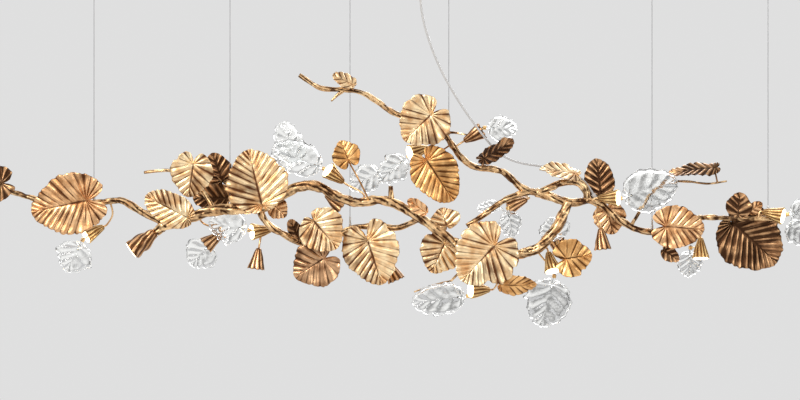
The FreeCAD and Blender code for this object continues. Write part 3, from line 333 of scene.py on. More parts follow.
def square_to(direction):
    helper = Vector((0, 0, 1)) if abs(direction.z) < 0.8 else Vector((1, 0, 0))
    side = direction.cross(helper).normalized()
    return side, side.cross(direction).normalized()


def add_piece(name, points, facets, look, body=ROOT, valleys_and_painted_shade=None):
    """A smooth-shaded piece that rides on a body; `valleys_and_painted_shade` is 1 deep in a fold, 0 on a
    crest, and on a leaf it also holds the painted shade over one half.
    """
    mesh = bpy.data.meshes.new(name)
    mesh.from_pydata([tuple(point) for point in points], [], facets)
    if valleys_and_painted_shade:
        layer = mesh.attributes.new("valley_and_painted_shade", "FLOAT", "POINT")
        layer.data.foreach_set("value", valleys_and_painted_shade)
    shell = bmesh.new()
    shell.from_mesh(mesh)
    bmesh.ops.remove_doubles(shell, verts=shell.verts, dist=MERGE_WITHIN)
    bmesh.ops.recalc_face_normals(shell, faces=shell.faces)
    shell.to_mesh(mesh)
    shell.free()
    mesh.materials.append(look)
    mesh.polygons.foreach_set("use_smooth", [True] * len(mesh.polygons))
    piece = bpy.data.objects.new(name, mesh)
    bpy.context.scene.collection.objects.link(piece)
    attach(piece, body)
    return piece


def outward(side, up, angle):
    return side * math.cos(angle) + up * math.sin(angle)


def ring_facets(rings, sides):
    """The quads between rings of points that follow each other."""
    facets = []
    for ring in range(rings - 1):
        for corner in range(sides):
            here = ring * sides + corner
            beside = ring * sides + (corner + 1) % sides
            facets.append((here, beside, beside + sides, here + sides))
    return facets


END_VALLEY = 0.4


def tube_mesh(path, sides, radius_at):
    """A closed tube's points, facets and valleys; radius_at(index, angle) gives radius and valley."""
    points = []
    valleys_and_painted_shade = []
    side = square_to(path[1] - path[0])[0]
    for index, centre in enumerate(path):
        ahead = (path[min(index + 1, len(path) - 1)] - path[max(index - 1, 0)]).normalized()
        side = (side - ahead * side.dot(ahead)).normalized()
        up = ahead.cross(side)
        for corner in range(sides):
            angle = 2 * math.pi * corner / sides
            radius, valley_and_painted_shade = radius_at(index, angle)
            points.append(centre + outward(side, up, angle) * radius)
            valleys_and_painted_shade.append(valley_and_painted_shade)
    facets = ring_facets(len(path), sides)
    for first, end in ((0, path[0]), ((len(path) - 1) * sides, path[-1])):
        points.append(end)
        valleys_and_painted_shade.append(END_VALLEY)
        for corner in range(sides):
            facets.append((first + corner, first + (corner + 1) % sides, len(points) - 1))
    return points, facets, valleys_and_painted_shade


def noise_at(place, detail, seed):
    return noise.noise(place * detail + Vector((seed, seed * 1.7, -seed)))


# ---------------------------------------------------------------- materials


def node_material(name):
    look = bpy.data.materials.new(name)
    look.use_nodes = True
    return look, look.node_tree.nodes, look.node_tree.links, look.node_tree.nodes["Principled BSDF"]


def noise_node(nodes, links, scale, detail=4.0):
    place = nodes.new("ShaderNodeTexCoord")
    texture = nodes.new("ShaderNodeTexNoise")
    texture.inputs["Scale"].default_value = scale
    texture.inputs["Detail"].default_value = detail
    links.new(place.outputs["Object"], texture.inputs["Vector"])
    return texture.outputs["Fac"]


def mixed(nodes, links, share, first, second):
    """A colour between two others; each is a colour or a socket."""
    mix = nodes.new("ShaderNodeMix")
    mix.data_type = "RGBA"
    if isinstance(share, float):
        mix.inputs["Factor"].default_value = share
    else:
        links.new(share, mix.inputs["Factor"])
    for socket, value in ((mix.inputs[6], first), (mix.inputs[7], second)):
        if isinstance(value, tuple):
            socket.default_value = value + (1.0,)
        else:
            links.new(value, socket)
    return mix.outputs[2]


def ranged(nodes, links, value, low, high, to_low=0.0, to_high=1.0):
    spread = nodes.new("ShaderNodeMapRange")
    links.new(value, spread.inputs["Value"])
    limits = {"From Min": low, "From Max": high, "To Min": to_low, "To Max": to_high}
    for key, number in limits.items():
        spread.inputs[key].default_value = number
    return spread.outputs["Result"]


def either(nodes, links, first, second):
    """1 where one of two kinds of ray arrives."""
    total = nodes.new("ShaderNodeMath")
    total.operation = "ADD"
    total.use_clamp = True
    links.new(first, total.inputs[0])
    links.new(second, total.inputs[1])
    return total.outputs[0]


def bump(nodes, links, shader, height, strength, distance):
    relief = nodes.new("ShaderNodeBump")
    relief.inputs["Strength"].default_value = strength
    relief.inputs["Distance"].default_value = distance
    links.new(height, relief.inputs["Height"])
    links.new(relief.outputs["Normal"], shader.inputs["Normal"])


def antique(name, crest, fold, worn, rough=(0.26, 0.46)):
    """Patinated brass: dark in the folds, polished on the crests, clouded in between; on leaves the valley
    tone also carries painted shade over one half.
    """
    look, nodes, links, shader = node_material(name)
    shader.inputs["Metallic"].default_value = 1.0
    clouds = noise_node(nodes, links, 38.0, 6.0)
    grain = noise_node(nodes, links, 420.0, 3.0)
    # Fold tone, which on leaves also holds the painted shade over one half.
    valley_and_painted_shade = nodes.new("ShaderNodeAttribute")
    valley_and_painted_shade.attribute_name = "valley_and_painted_shade"
    worn_share = ranged(nodes, links, clouds, 0.36, 0.64)
    crest_colour = mixed(nodes, links, worn_share, crest, worn)
    fold_sum = nodes.new("ShaderNodeMath")
    fold_sum.operation = "MULTIPLY_ADD"
    links.new(clouds, fold_sum.inputs[0])
    fold_sum.inputs[1].default_value = 0.6
    links.new(valley_and_painted_shade.outputs["Fac"], fold_sum.inputs[2])
    fold_share = ranged(nodes, links, fold_sum.outputs[0], 0.45, 1.1)
    links.new(mixed(nodes, links, fold_share, crest_colour, fold), shader.inputs["Base Color"])
    links.new(ranged(nodes, links, clouds, 0.3, 0.7, *rough), shader.inputs["Roughness"])
    bump(nodes, links, shader, grain, 0.25, 0.0004)
    return look


def crystal():
    """Clear cast glass with a rippled, dimpled face."""
    look, nodes, links, shader = node_material("crystal_cast")
    shader.inputs["Base Color"].default_value = (0.93, 0.945, 0.945, 1.0)
    shader.inputs["Roughness"].default_value = 0.02
    shader.inputs["IOR"].default_value = 1.5
    shader.inputs["Transmission Weight"].default_value = 1.0
    ripples = noise_node(nodes, links, 90.0, 1.5)
    bump(nodes, links, shader, ripples, 0.35, 0.003)
    return look


def satin_metal(name, colour, rough):
    look, nodes, links, shader = node_material(name)
    shader.inputs["Metallic"].default_value = 1.0
    marks = noise_node(nodes, links, 900.0, 2.0)
    dark = tuple(channel * 0.8 for channel in colour)
    links.new(mixed(nodes, links, marks, dark, colour), shader.inputs["Base Color"])
    links.new(ranged(nodes, links, marks, 0.3, 0.7, rough * 0.8, rough * 1.25), shader.inputs["Roughness"])
    bump(nodes, links, shader, marks, 0.08, 0.0002)
    return look


def moulded(name, colour, rough=0.45, clear=0.0):
    look, nodes, links, shader = node_material(name)
    skin = noise_node(nodes, links, 1400.0, 2.0)
    dark = tuple(channel * 0.92 for channel in colour)
    links.new(mixed(nodes, links, skin, dark, colour), shader.inputs["Base Color"])
    shader.inputs["Roughness"].default_value = rough
    shader.inputs["Transmission Weight"].default_value = clear
    bump(nodes, links, shader, skin, 0.1, 0.0002)
    return look


def glowing(name, colour, strength):
    look, _, _, shader = node_material(name)
    shader.inputs["Base Color"].default_value = (0.95, 0.93, 0.88, 1.0)
    shader.inputs["Roughness"].default_value = 0.5
    shader.inputs["Emission Color"].default_value = colour + (1.0,)
    shader.inputs["Emission Strength"].default_value = strength
    return look


LOOKS = {
    "pale": antique("brass_pale_gold", (1.0, 0.78, 0.48), (0.11, 0.04, 0.016), (0.70, 0.41, 0.19)),
    "copper": antique("brass_copper", (0.92, 0.57, 0.30), (0.10, 0.035, 0.013), (0.52, 0.26, 0.11)),
    "orange": antique("brass_orange_gold", (0.90, 0.53, 0.22), (0.10, 0.036, 0.01), (0.54, 0.26, 0.085)),
    "brown": antique("brass_tan_brown", (0.66, 0.40, 0.22), (0.07, 0.028, 0.013), (0.32, 0.165, 0.08)),
    "dark": antique("brass_dark_brown", (0.62, 0.36, 0.18), (0.055, 0.025, 0.012), (0.30, 0.15, 0.07)),
    "bark": antique("brass_bark", (0.94, 0.65, 0.35), (0.06, 0.025, 0.011), (0.52, 0.29, 0.13)),
    # The cups of lit plain lamps take a brighter copy of the cup brass, paler in its folds too: painted
    # glow from their own lamp. The other cups take "unlit", the same brass without the painted glow.
    "cup": antique("brass_cup_gold_painted_glow", (0.95, 0.67, 0.30), (0.20, 0.09, 0.03), (0.66, 0.40, 0.16)),
    "unlit": antique("brass_cup_brown", (0.80, 0.49, 0.26), (0.10, 0.04, 0.016), (0.50, 0.27, 0.12)),
}
CRYSTAL = crystal()
NICKEL = satin_metal("satin_nickel", (0.66, 0.65, 0.63), 0.3)
CANOPY = antique("brass_canopy", (0.62, 0.45, 0.27), (0.3, 0.18, 0.1), (0.5, 0.35, 0.2), (0.3, 0.42))
STRAND = satin_metal("wire_rope", (0.30, 0.30, 0.31), 0.35)
SHEATH = moulded("silver_sheath", (0.52, 0.51, 0.50), 0.25)
WHITE_CASE = moulded("white_case", (0.85, 0.85, 0.84))
NYLON = moulded("natural_nylon", (0.82, 0.80, 0.74))
LED_DISC = glowing("led_disc", (1.0, 0.80, 0.50), 7.0)
FROSTED = moulded("frosted_lens", (0.80, 0.76, 0.68), 0.5)

# Length, foot radius and mouth radius of a cup.
CUP = (52.0, 5.5, 21.5)
END_CUP = (74.0, 10.0, 25.0)
# These show no light: their lips reach past the lens.
UNLIT = (
    "left_low", "upper", "twig", "rear", "under_trunk", "loop_side", "drop_left", "drop_right")

# ---------------------------------------------------------------- limbs

BARK_SPACING = 0.004
BARK_SIDES = 36
RIDGES = 5
RIDGE_DEPTH = 0.15
RIBS = 9
RIB_DEPTH = 0.05
LUMP_DEPTH = 0.34
PIT_DEPTH = 0.16
KNOT_SPACING = 0.046
KNOT_HEIGHT = 0.42
KNOT_WIDTH = 0.007
KNOT_REACH = 2.5
# How fine the wandering, the ridges, the lumps and the pits are.
DRIFT_DETAIL = 18.0
RIDGE_DETAIL = 26.0
LUMP_DETAIL = 48.0
PIT_DETAIL = 150.0
# The swelling over the plain limb, as a share of its radius, stays under this.
MOST_SWELL = 0.22
NECK_LENGTH = 0.02
RING_SPACING = 0.022
BARK_TWIST = 0.30 / RING_SPACING
SPUR_BOW = 0.0025
SPUR_SEED = 20


def limb_path(name, spacing):
    points = [station(*point) for point in LIMB_STATIONS[name]]
    if name == "trunk_limb":
        mouth, axis = LAMPS["trunk_end"][:2]
        points.insert(0, station(*mouth) - Vector(axis).normalized() * END_CUP[0] * MM)
    return curve_through(points, spacing)


spines = {name: limb_path(name, RING_SPACING) for name in LIMB_STATIONS}


def nearest_on(name, point):
    return min(spines[name], key=lambda at: (at - point).length)


def bark(path, first, last, seed, neck=1.0):
    """A limb's twisted bark: soft ridges that wander, fine ribs, lumps, pits and knots."""
    run = [0.0]
    for start, end in zip(path, path[1:]):
        run.append(run[-1] + (end - start).length)
    knots = []
    for number in range(int(run[-1] / KNOT_SPACING)):
        stray = noise_at(Vector((number, 0, 0)), 0.7, seed)
        knots.append(((number + 0.5 + 0.4 * stray) * KNOT_SPACING, 2.4 * number + 5 * stray))

    def knot_at(distance, angle):
        height = 0.0
        for place, way in knots:
            apart = (distance - place) / KNOT_WIDTH
            if abs(apart) < KNOT_REACH:
                height += math.exp(-apart ** 2 - 1.6 * (1 - math.cos(angle - way)))
        return height

    def radius_at(index, angle):
        base = first + (last - first) * run[index] / run[-1]
        base *= neck + (1 - neck) * min(1.0, run[index] / NECK_LENGTH)
        turn = angle - BARK_TWIST * run[index]
        around = Vector((math.cos(angle), math.sin(angle), 0)) * base * MM
        place = path[index] + around
        drift = 3.2 * noise_at(path[index], DRIFT_DETAIL, seed)
        strength = 0.7 + 0.9 * noise_at(place, RIDGE_DETAIL, seed + 1)
        ridge = math.cos(RIDGES * turn + drift) * strength
        rib = math.cos(RIBS * turn - 2 * drift + 26 * run[index])
        lump = noise_at(place, LUMP_DETAIL, seed)
        pit = noise_at(place, PIT_DETAIL, seed + 3)
        knot = knot_at(run[index], angle)
        swell = RIDGE_DEPTH * ridge + RIB_DEPTH * rib + LUMP_DEPTH * lump + PIT_DEPTH * pit
        swell += KNOT_HEIGHT * knot
        if swell > 0:
            swell = MOST_SWELL * math.tanh(swell / MOST_SWELL)
        radius = base * (0.96 + swell)
        valley_and_painted_shade = 0.44 - 0.45 * ridge - 0.18 * rib - 0.6 * lump - 0.7 * pit - 0.3 * knot
        return radius * MM, min(1.0, max(0.0, valley_and_painted_shade))

    return tube_mesh(path, BARK_SIDES, radius_at)


for seed, (limb_name, (first_radius, last_radius)) in enumerate(LIMB_ENDS.items()):
    path = limb_path(limb_name, BARK_SPACING)
    neck = END_CUP[1] / first_radius if limb_name == "trunk_limb" else 1.0
    points, facets, valleys_and_painted_shade = bark(path, first_radius, last_radius, seed, neck)
    limb = add_piece(
        "bark_" + limb_name, points, facets, LOOKS["bark"], valleys_and_painted_shade=valleys_and_painted_shade)
    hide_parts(limb_name)

for number, (start, end, limb_name, first_radius, last_radius) in enumerate(SPURS):
    ends = [station(*start), station(*end)]
    middle = (ends[0] + ends[1]) * 0.5 + Vector((0, 0, SPUR_BOW))
    path = curve_through([ends[0], middle, ends[1]], BARK_SPACING)
    points, facets, valleys_and_painted_shade = bark(path, first_radius, last_radius, SPUR_SEED + number)
    spur = add_piece(
        "spur_%d" % (number + 1), points, facets, LOOKS["bark"], valleys_and_painted_shade=valleys_and_painted_shade)
    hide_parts("short_spurs")

# ---------------------------------------------------------------- leaves

NOTCH_DEPTH = 0.8
NOTCH_ANGLE = 18.0
BACK_SHARE = 0.85
BODY_SHARE = 0.93
TIP_ANGLE = 14.0
FLANK_ANGLE = 36.0
FLANK_SPREAD = 15.0
FLANK_DEPTH = 0.06
DROOP = 0.10
VEIN_PITCH = 9.4
METAL_THICKNESS = 1.3


def leaf_frame(base, toward, roll=0.0):
    """Unit vectors along the midrib, across the leaf and out of its face."""
    along = (toward - base).normalized()
    out = (FRONT - along * FRONT.dot(along)).normalized()
    out = Matrix.Rotation(math.radians(roll), 3, along) @ out
    return along, out.cross(along), out


def outline_reach(angle, length, half_width, lobe):
    """Distance from the stalk to the edge: an ellipse, a drawn-out tip and a notch at the back."""
    body = length * BODY_SHARE
    back = half_width * lobe * BACK_SHARE
    half_length = (body + back) / 2
    centre = (body - back) / 2
    cosine = math.cos(angle)
    sine = math.sin(angle)
    spread = (cosine / half_length) ** 2 + (sine / half_width) ** 2
    offset = centre * sine / (half_length * half_width)
    reach = (centre * cosine / half_length ** 2 + math.sqrt(spread - offset ** 2)) / spread
    degrees = abs(math.degrees(angle))
    reach *= 1 + (1 / BODY_SHARE - 1) * math.exp(-(degrees / TIP_ANGLE) ** 2)
    reach *= 1 - FLANK_DEPTH * math.exp(-((degrees - FLANK_ANGLE) / FLANK_SPREAD) ** 2)
    return reach * (1 - NOTCH_DEPTH * math.exp(-((180 - degrees) / NOTCH_ANGLE) ** 2))


class Style:
    """How a kind of leaf is folded: veins a side, how they spread and how thick the sheet is."""

    def __init__(self, veins, fan, pleat, ruffle, scallop, tooth, thickness, rim, rows, columns):
        self.veins = veins
        self.fan = fan
        self.pleat = pleat
        self.ruffle = ruffle
        self.scallop = scallop
        self.tooth = tooth
        self.thickness = thickness
        self.rim = rim
        self.rows = rows
        self.columns = columns
        self.crest_line = False
        self.drawn_in = 0.05 * rim


def metal_style(length, tone):
    """A metal leaf has a vein about every 9 mm; the dark ones are bright on their crests alone."""
    style = Style(
        veins=max(6, round(length / VEIN_PITCH)), fan=0.42, pleat=1.3 + 0.009 * length,
        ruffle=9.0, scallop=0.008, tooth=0.06, thickness=METAL_THICKNESS, rim=0.0, rows=6,
        columns=(0, 0.03, 0.07, 0.13, 0.2, 0.28, 0.37, 0.46, 0.55, 0.64, 0.73, 0.81, 0.88, 0.94, 1.0))
    style.crest_line = tone == "dark"
    return style


def glass_style(thickness, ruffle):
    return Style(
        veins=7, fan=0.40, pleat=1.0, ruffle=ruffle, scallop=0.05, tooth=0.11,
        thickness=thickness, rim=0.75, rows=9, columns=(
            0, 0.04, 0.1, 0.2, 0.32, 0.45, 0.58, 0.7, 0.79, 0.85, 0.89, 0.92, 0.945, 0.968, 0.985, 1.0))


GLASS = glass_style(4.2, 3.0)
# The pane right behind the lower limb is thinner and flatter, so it turns clear of it.
THIN_GLASS = glass_style(2.6, 0.8)
RIM_CREST = 0.92
VEIN_SWEEP = 62.0
VEIN_OPENING = 0.45
LAST_VEIN_START = 0.93
EDGE_HALVINGS = 22


def vein_line(share, length, half_width, lobe, fan):
    """Where a vein leaves the midrib, and where it meets the leaf's edge."""
    if share < 1 - fan:
        along_rib = share / (1 - fan)
        start = LAST_VEIN_START * length * (1 - along_rib)
        angle = VEIN_SWEEP * along_rib ** VEIN_OPENING
    else:
        start = 0.0
        angle = VEIN_SWEEP + (180 - VEIN_SWEEP) * (share - 1 + fan) / fan
    angle = math.radians(angle)
    low = 0.0
    high = 2 * length
    for _ in range(EDGE_HALVINGS):
        middle = (low + high) / 2
        x = start + middle * math.cos(angle)
        y = middle * math.sin(angle)
        if math.hypot(x, y) < outline_reach(math.atan2(y, x), length, half_width, lobe):
            low = middle
        else:
            high = middle
    return start, start + low * math.cos(angle), low * math.sin(angle)


# Shares of the way from the midrib to the edge: where the pleats are full, the midrib's
# groove and its stain. A tear opens where the noise along the edge passes TEAR_ABOVE.
FULL_PLEAT = 0.28
MIDRIB_WIDTH = 0.04
MIDRIB_DEPTH = 0.9
MIDRIB_STAIN = 0.045
EDGE_WAVE = 0.06
TEAR_DEPTH = 0.35
TEAR_ABOVE = 0.34
# The glass rim's width and least thickness; a dark leaf's golden tip starts past this share.
RIM_WIDTH = 0.06
THIN_RIM = 0.35
GOLD_FROM = 0.62


def leaf_mesh(base, frame_axes, length, half_width, lobe, fold, style, seed, painted_half_shade=0.0):
    """One pleated leaf's points, facets and valley tones; `painted_half_shade` paints shade over one half
    of it.
    """
    along, across, out = frame_axes
    rise = math.tan(math.radians(fold))
    rows = style.veins * style.rows
    ring = [(t, 1) for t in style.columns] + [(t, -1) for t in reversed(style.columns)]
    points = []
    valleys_and_painted_shade = []
    facets = []
    for side in (1, -1):
        first = len(points)
        for row in range(rows + 1):
            share = row / rows
            start, edge_x, edge_y = vein_line(share, length, half_width, lobe, style.fan)
            phase = math.pi * share * style.veins
            crest = 2 * abs(math.cos(phase)) ** 0.8 - 1
            vein = math.floor(share * style.veins + 0.5)
            uneven = 1 + 0.7 * noise_at(Vector((vein * side, 0, 0)), 0.61, seed)
            edge = Vector((edge_x, edge_y * side, 0))
            ragged = style.scallop * crest + style.tooth * noise_at(edge, 0.13, seed + 2)
            ragged += EDGE_WAVE * noise_at(edge, 0.035, seed)
            tear = max(0.0, noise_at(edge, 0.055, seed + 3) - TEAR_ABOVE)
            ragged -= TEAR_DEPTH * tear + style.drawn_in
            streak = noise_at(Vector((share * style.veins * side, 0, 0)), 3.1, seed + 7)
            for t, face in ring:
                reach = t * (1 + ragged * t)
                x = start + (edge_x - start) * reach
                y = edge_y * reach * side
                at = Vector((x, y, 0))
                folded = min(1.0, t / FULL_PLEAT)
                lift = style.pleat * crest * uneven * folded * (1 - 0.3 * t)
                lift += rise * abs(y) - DROOP * max(0.0, x) ** 2 / length
                lift += style.ruffle * t * t * noise_at(at, 0.03, seed + 5)
                lift += 0.5 * noise_at(at, 0.13, seed + 6) + 0.3 * noise_at(at, 0.31, seed + 8)
                lift -= MIDRIB_DEPTH * math.exp(-(t / MIDRIB_WIDTH) ** 2)
                thick = style.thickness * 0.5
                if style.rim:
                    swell = math.exp(-((t - RIM_CREST) / RIM_WIDTH) ** 2)
                    beads = 1 + 0.7 * noise_at(at, 0.11, seed + 9)
                    dimple = noise_at(Vector((x, y, face * 30.0)), 0.075, seed + 11)
                    veined = 0.62 * crest * folded * (0.5 + 0.5 * face)
                    thick *= 0.68 + veined + 0.6 * dimple + style.rim * swell * beads
                    past = max(0.0, t - RIM_CREST) / (1 - RIM_CREST)
                    thick = max(THIN_RIM, thick) * math.sqrt(max(0.03, 1 - past * past))
                place = along * x + across * y + out * (lift + face * thick)
                points.append(base + place * MM)
                rib = math.exp(-(t / MIDRIB_STAIN) ** 2)
                deep = (0.5 - 0.5 * crest) ** 1.8 * folded
                if style.crest_line:
                    deep = 1 - max(0.0, crest) ** 4 * (0.4 + 0.6 * folded)
                    deep -= 0.5 * min(1.0, max(0.0, x / length - GOLD_FROM) / 0.25)
                tone = 0.95 * deep + 0.9 * rib + 0.5 * streak * folded
                # Random tone, and painted shade laid over one half of the leaf.
                tone += 0.55 * noise_at(at, 0.035, seed + 4) + painted_half_shade * side
                valleys_and_painted_shade.append(min(1.0, max(0.0, tone)))
        width = len(ring)
        for row in range(rows):
            for column in range(width - 1):
                here = first + row * width + column
                facet = (here, here + 1, here + 1 + width, here + width)
                facets.append(facet if side > 0 else facet[::-1])
    return points, facets, valleys_and_painted_shade


def joined(*meshes):
    """Several (points, facets, valley tones with painted shade) as one."""
    points = []
    facets = []
    valleys_and_painted_shade = []
    for more_points, more_facets, more_valleys in meshes:
        shift = len(points)
        points += more_points
        facets += [tuple(index + shift for index in facet) for facet in more_facets]
        valleys_and_painted_shade += more_valleys
    return points, facets, valleys_and_painted_shade


STALK_RADII = (2.3, 1.8)
STALK_SIDES = 12
# The painted shade over one half of every leaf not listed below.
PLAIN_PAINTED_SHADE = 0.05
# Painted shade: how much darker the half on the leaf's first side is painted than the other.
PAINTED_HALF_SHADES = {
    "great_front": 0.2, "tall_trunk": 0.2, "left_twig_front": 0.14, "upper_hanging": 0.12,
    "loop_low": -0.22, "loop_right": -0.2, "loop_front": -0.16, "trunk_hanging": -0.2,
    "trunk_start": -0.1, "upper_bright": 0.12, "right_front": -0.1, "low_round": 0.14,
}


def stalk_mesh(start, base, out, via):
    """A leaf's stalk, from inside a limb to the back of the leaf."""
    side = out if (start - base).dot(out) > 0 else -out
    gap = (start - base).length
    route = [start] + via + [base + side * min(0.009, gap * 0.4), base]
    path = curve_through(route, 0.005)
    first, last = STALK_RADII

    def radius_at(index, angle):
        share = index / (len(path) - 1)
        ripple = 0.12 * noise_at(path[index], 120.0, 2) + 0.05 * math.cos(5 * angle)
        return (first + (last - first) * share) * (1 + ripple) * MM, 0.35 + 2 * ripple

    return tube_mesh(path, STALK_SIDES, radius_at)


for node, group in LEAVES.items():
    for name, base, toward, length, half_width, lobe, roll, fold, limb_name, via, tone in group:
        base = station(*base)
        axes = leaf_frame(base, station(*toward), roll)
        via = [station(*point) for point in via]
        start = nearest_on(limb_name, via[0] if via else base)
        seed = 0.37 * len(name) + 3.1 * abs(base.x)
        style = metal_style(length, tone)
        # Painted shade for one half of this leaf.
        painted_half_shade = PAINTED_HALF_SHADES.get(name, PLAIN_PAINTED_SHADE)
        sheet = leaf_mesh(base, axes, length, half_width, lobe, fold, style, seed, painted_half_shade)
        points, facets, valleys_and_painted_shade = joined(sheet, stalk_mesh(start, base, axes[2], via))
        leaf = add_piece("leaf_" + name, points, facets, LOOKS[tone], valleys_and_painted_shade=valleys_and_painted_shade)
        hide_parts(node)

# ---------------------------------------------------------------- glass leaves

GLASS_LOBE = 0.3
PIN_RADIUS = 2.5
PIN_IN_GLASS = 9.0
CLIP_LENGTH = 9.0
CLIP_GAP = 3.0
PIN_BEYOND_CLIP = 2.0
LINK_RADIUS = 2.1
LINK_BOW = 0.006
LINK_SPACING = 0.004
ROD_SIDES = 20
ROD_VALLEY = 0.25


def back_reach(length, half_width):
    angles = [math.radians(degrees) for degrees in range(90, 180, 5)]
    return max(
        -math.cos(angle) * outline_reach(angle, length, half_width, GLASS_LOBE) for angle in angles)


def rod(path, radius):
    return tube_mesh(path, ROD_SIDES, lambda index, angle: (radius * MM, ROD_VALLEY))


for lamp_name, group in GLASS_LEAVES.items():
    node = "glass_leaf_" + lamp_name
    first_base = None
    for name, base, toward, length, half_width in group:
        base = station(*base)
        axes = leaf_frame(base, station(*toward))
        seed = 0.53 * len(name) + 2.3 * abs(base.x)
        style = THIN_GLASS if name == "rear" else GLASS
        points, facets, _ = leaf_mesh(base, axes, length, half_width, GLASS_LOBE, 0, style, seed)
        pane = add_piece("crystal_" + name, points, facets, CRYSTAL, node)
        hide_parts(node)
        if first_base is None:
            first_base = base
            along = axes[0]
            beyond = back_reach(length, half_width) + CLIP_GAP + CLIP_LENGTH + PIN_BEYOND_CLIP
            ends = [base - along * beyond * MM, base + along * PIN_IN_GLASS * MM]
            pin_path = [ends[0] + (ends[1] - ends[0]) * step / 4 for step in range(5)]
            points, facets, _ = rod(pin_path, PIN_RADIUS)
            pin = add_piece("pin_" + name, points, facets, CRYSTAL, node)
            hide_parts(node)
        else:
            start = first_base + along * LINK_SPACING
            bend = (start + base) * 0.5 + Vector((0, LINK_BOW, 0))
            route = curve_through([start, bend, base], LINK_SPACING)
            points, facets, _ = rod(route, LINK_RADIUS)
            link = add_piece("link_" + name, points, facets, CRYSTAL, node)
            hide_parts(node)

# ---------------------------------------------------------------- lamp cups

CUP_RIBS = 12
UNLIT_RIBS = 9
CUP_GROOVE = 0.10
CUP_FLARE = 0.85
CUP_WALL = 1.6
CUP_SIDES = 8 * CUP_RIBS
CUP_TWIST = 0.25
END_TWIST = 1.3
PLAIN_DENTS = 0.16
END_DENTS = 0.55
LIP_REACH = 2.4
DIFFUSER_HEIGHT = 2.5
MODULE_HEIGHT = 7.0
SEAT = 0.05
CUP_FLOOR = 10.0
FLARE_STEPS = 16
DENT_RING = 0.011
DENT_RUN = 0.03
DENT_DETAIL = 70.0


def cup_mesh(mouth, axis, sizes, ribs, twist, dents, lip):
    """A fluted cup: domed foot, soft flutes that turn, lobed lip, smooth inside."""
    length, foot, mouth_radius = sizes
    base = mouth - axis * length * MM
    side, up = square_to(axis)

    def outer(share):
        return foot + (mouth_radius - foot) * share ** CUP_FLARE

    at_floor = outer(CUP_FLOOR / length) * (1 - CUP_GROOVE) - CUP_WALL
    at_mouth = mouth_radius * (1 - CUP_GROOVE) - CUP_WALL
    profile = [(0.0, 0.35, 0), (0.012, 0.75, 0.3), (0.035, 1.0, 0.6)]
    profile += [(0.035 + 0.965 * step / FLARE_STEPS, 1.0, 1.0) for step in range(1, FLARE_STEPS + 1)]
    points = []
    valleys_and_painted_shade = []
    for share, scale, fluted in profile:
        for corner in range(CUP_SIDES):
            angle = 2 * math.pi * corner / CUP_SIDES
            turned = angle - twist * share
            wave = math.cos(ribs * turned)
            radius = outer(share) * scale * (1 - CUP_GROOVE * fluted * (0.5 - 0.5 * wave))
            way = outward(side, up, angle)
            at = base + outward(side, up, turned) * DENT_RING + axis * DENT_RUN * share
            dent = noise_at(at, DENT_DETAIL, 4)
            radius *= 1 + dents * fluted * abs(dent)
            reach = length * share + lip * (0.6 + 0.4 * wave) * share ** 6
            points.append(base + axis * reach * MM + way * radius * MM)
            tone = 0.9 * fluted * (0.5 - 0.5 * wave) + 0.25 * (1 - share)
            tone += 1.2 * (dents - PLAIN_DENTS) * dent
            valleys_and_painted_shade.append(min(1.0, max(0.0, tone)))
    inside = [(length, at_mouth + 0.15), (length - DIFFUSER_HEIGHT - MODULE_HEIGHT - 2, None)]
    for distance, radius in inside:
        if radius is None:
            radius = at_floor + (at_mouth - at_floor) * (distance - CUP_FLOOR) / (length - CUP_FLOOR)
        for corner in range(CUP_SIDES):
            angle = 2 * math.pi * corner / CUP_SIDES
            way = outward(side, up, angle)
            points.append(base + axis * distance * MM + way * radius * MM)
            valleys_and_painted_shade.append(0.1)
    rings = len(points) // CUP_SIDES
    facets = ring_facets(rings, CUP_SIDES)
    facets.append(tuple(reversed(range(CUP_SIDES))))
    facets.append(tuple(range((rings - 1) * CUP_SIDES, rings * CUP_SIDES)))
    return points, facets, valleys_and_painted_shade


LENS_STAND = 2.5
FROSTED_STAND = 0.4
LENS_EDGE = 0.7
LENS_DOME = 0.3
LENS_SIDES = 48


def lens_mesh(mouth, axis, radius, stand):
    """A pressed lens: a rounded edge, a slightly domed face and the back it seats on."""
    side, up = square_to(axis)
    rim = stand - LENS_DOME
    profile = [
        (-DIFFUSER_HEIGHT, 0.0), (-DIFFUSER_HEIGHT, radius - 0.9), (0.0, radius - 0.2),
        (rim - LENS_EDGE, radius), (rim - 0.3 * LENS_EDGE, radius - 0.25 * LENS_EDGE),
        (rim, radius - LENS_EDGE), (stand - 0.08, radius * 0.55), (stand, 0.0),
    ]
    points = []
    for height, reach in profile:
        for corner in range(LENS_SIDES):
            angle = 2 * math.pi * corner / LENS_SIDES
            way = outward(side, up, angle)
            points.append(mouth + (axis * height + way * reach) * MM)
    return points, ring_facets(len(profile), LENS_SIDES)


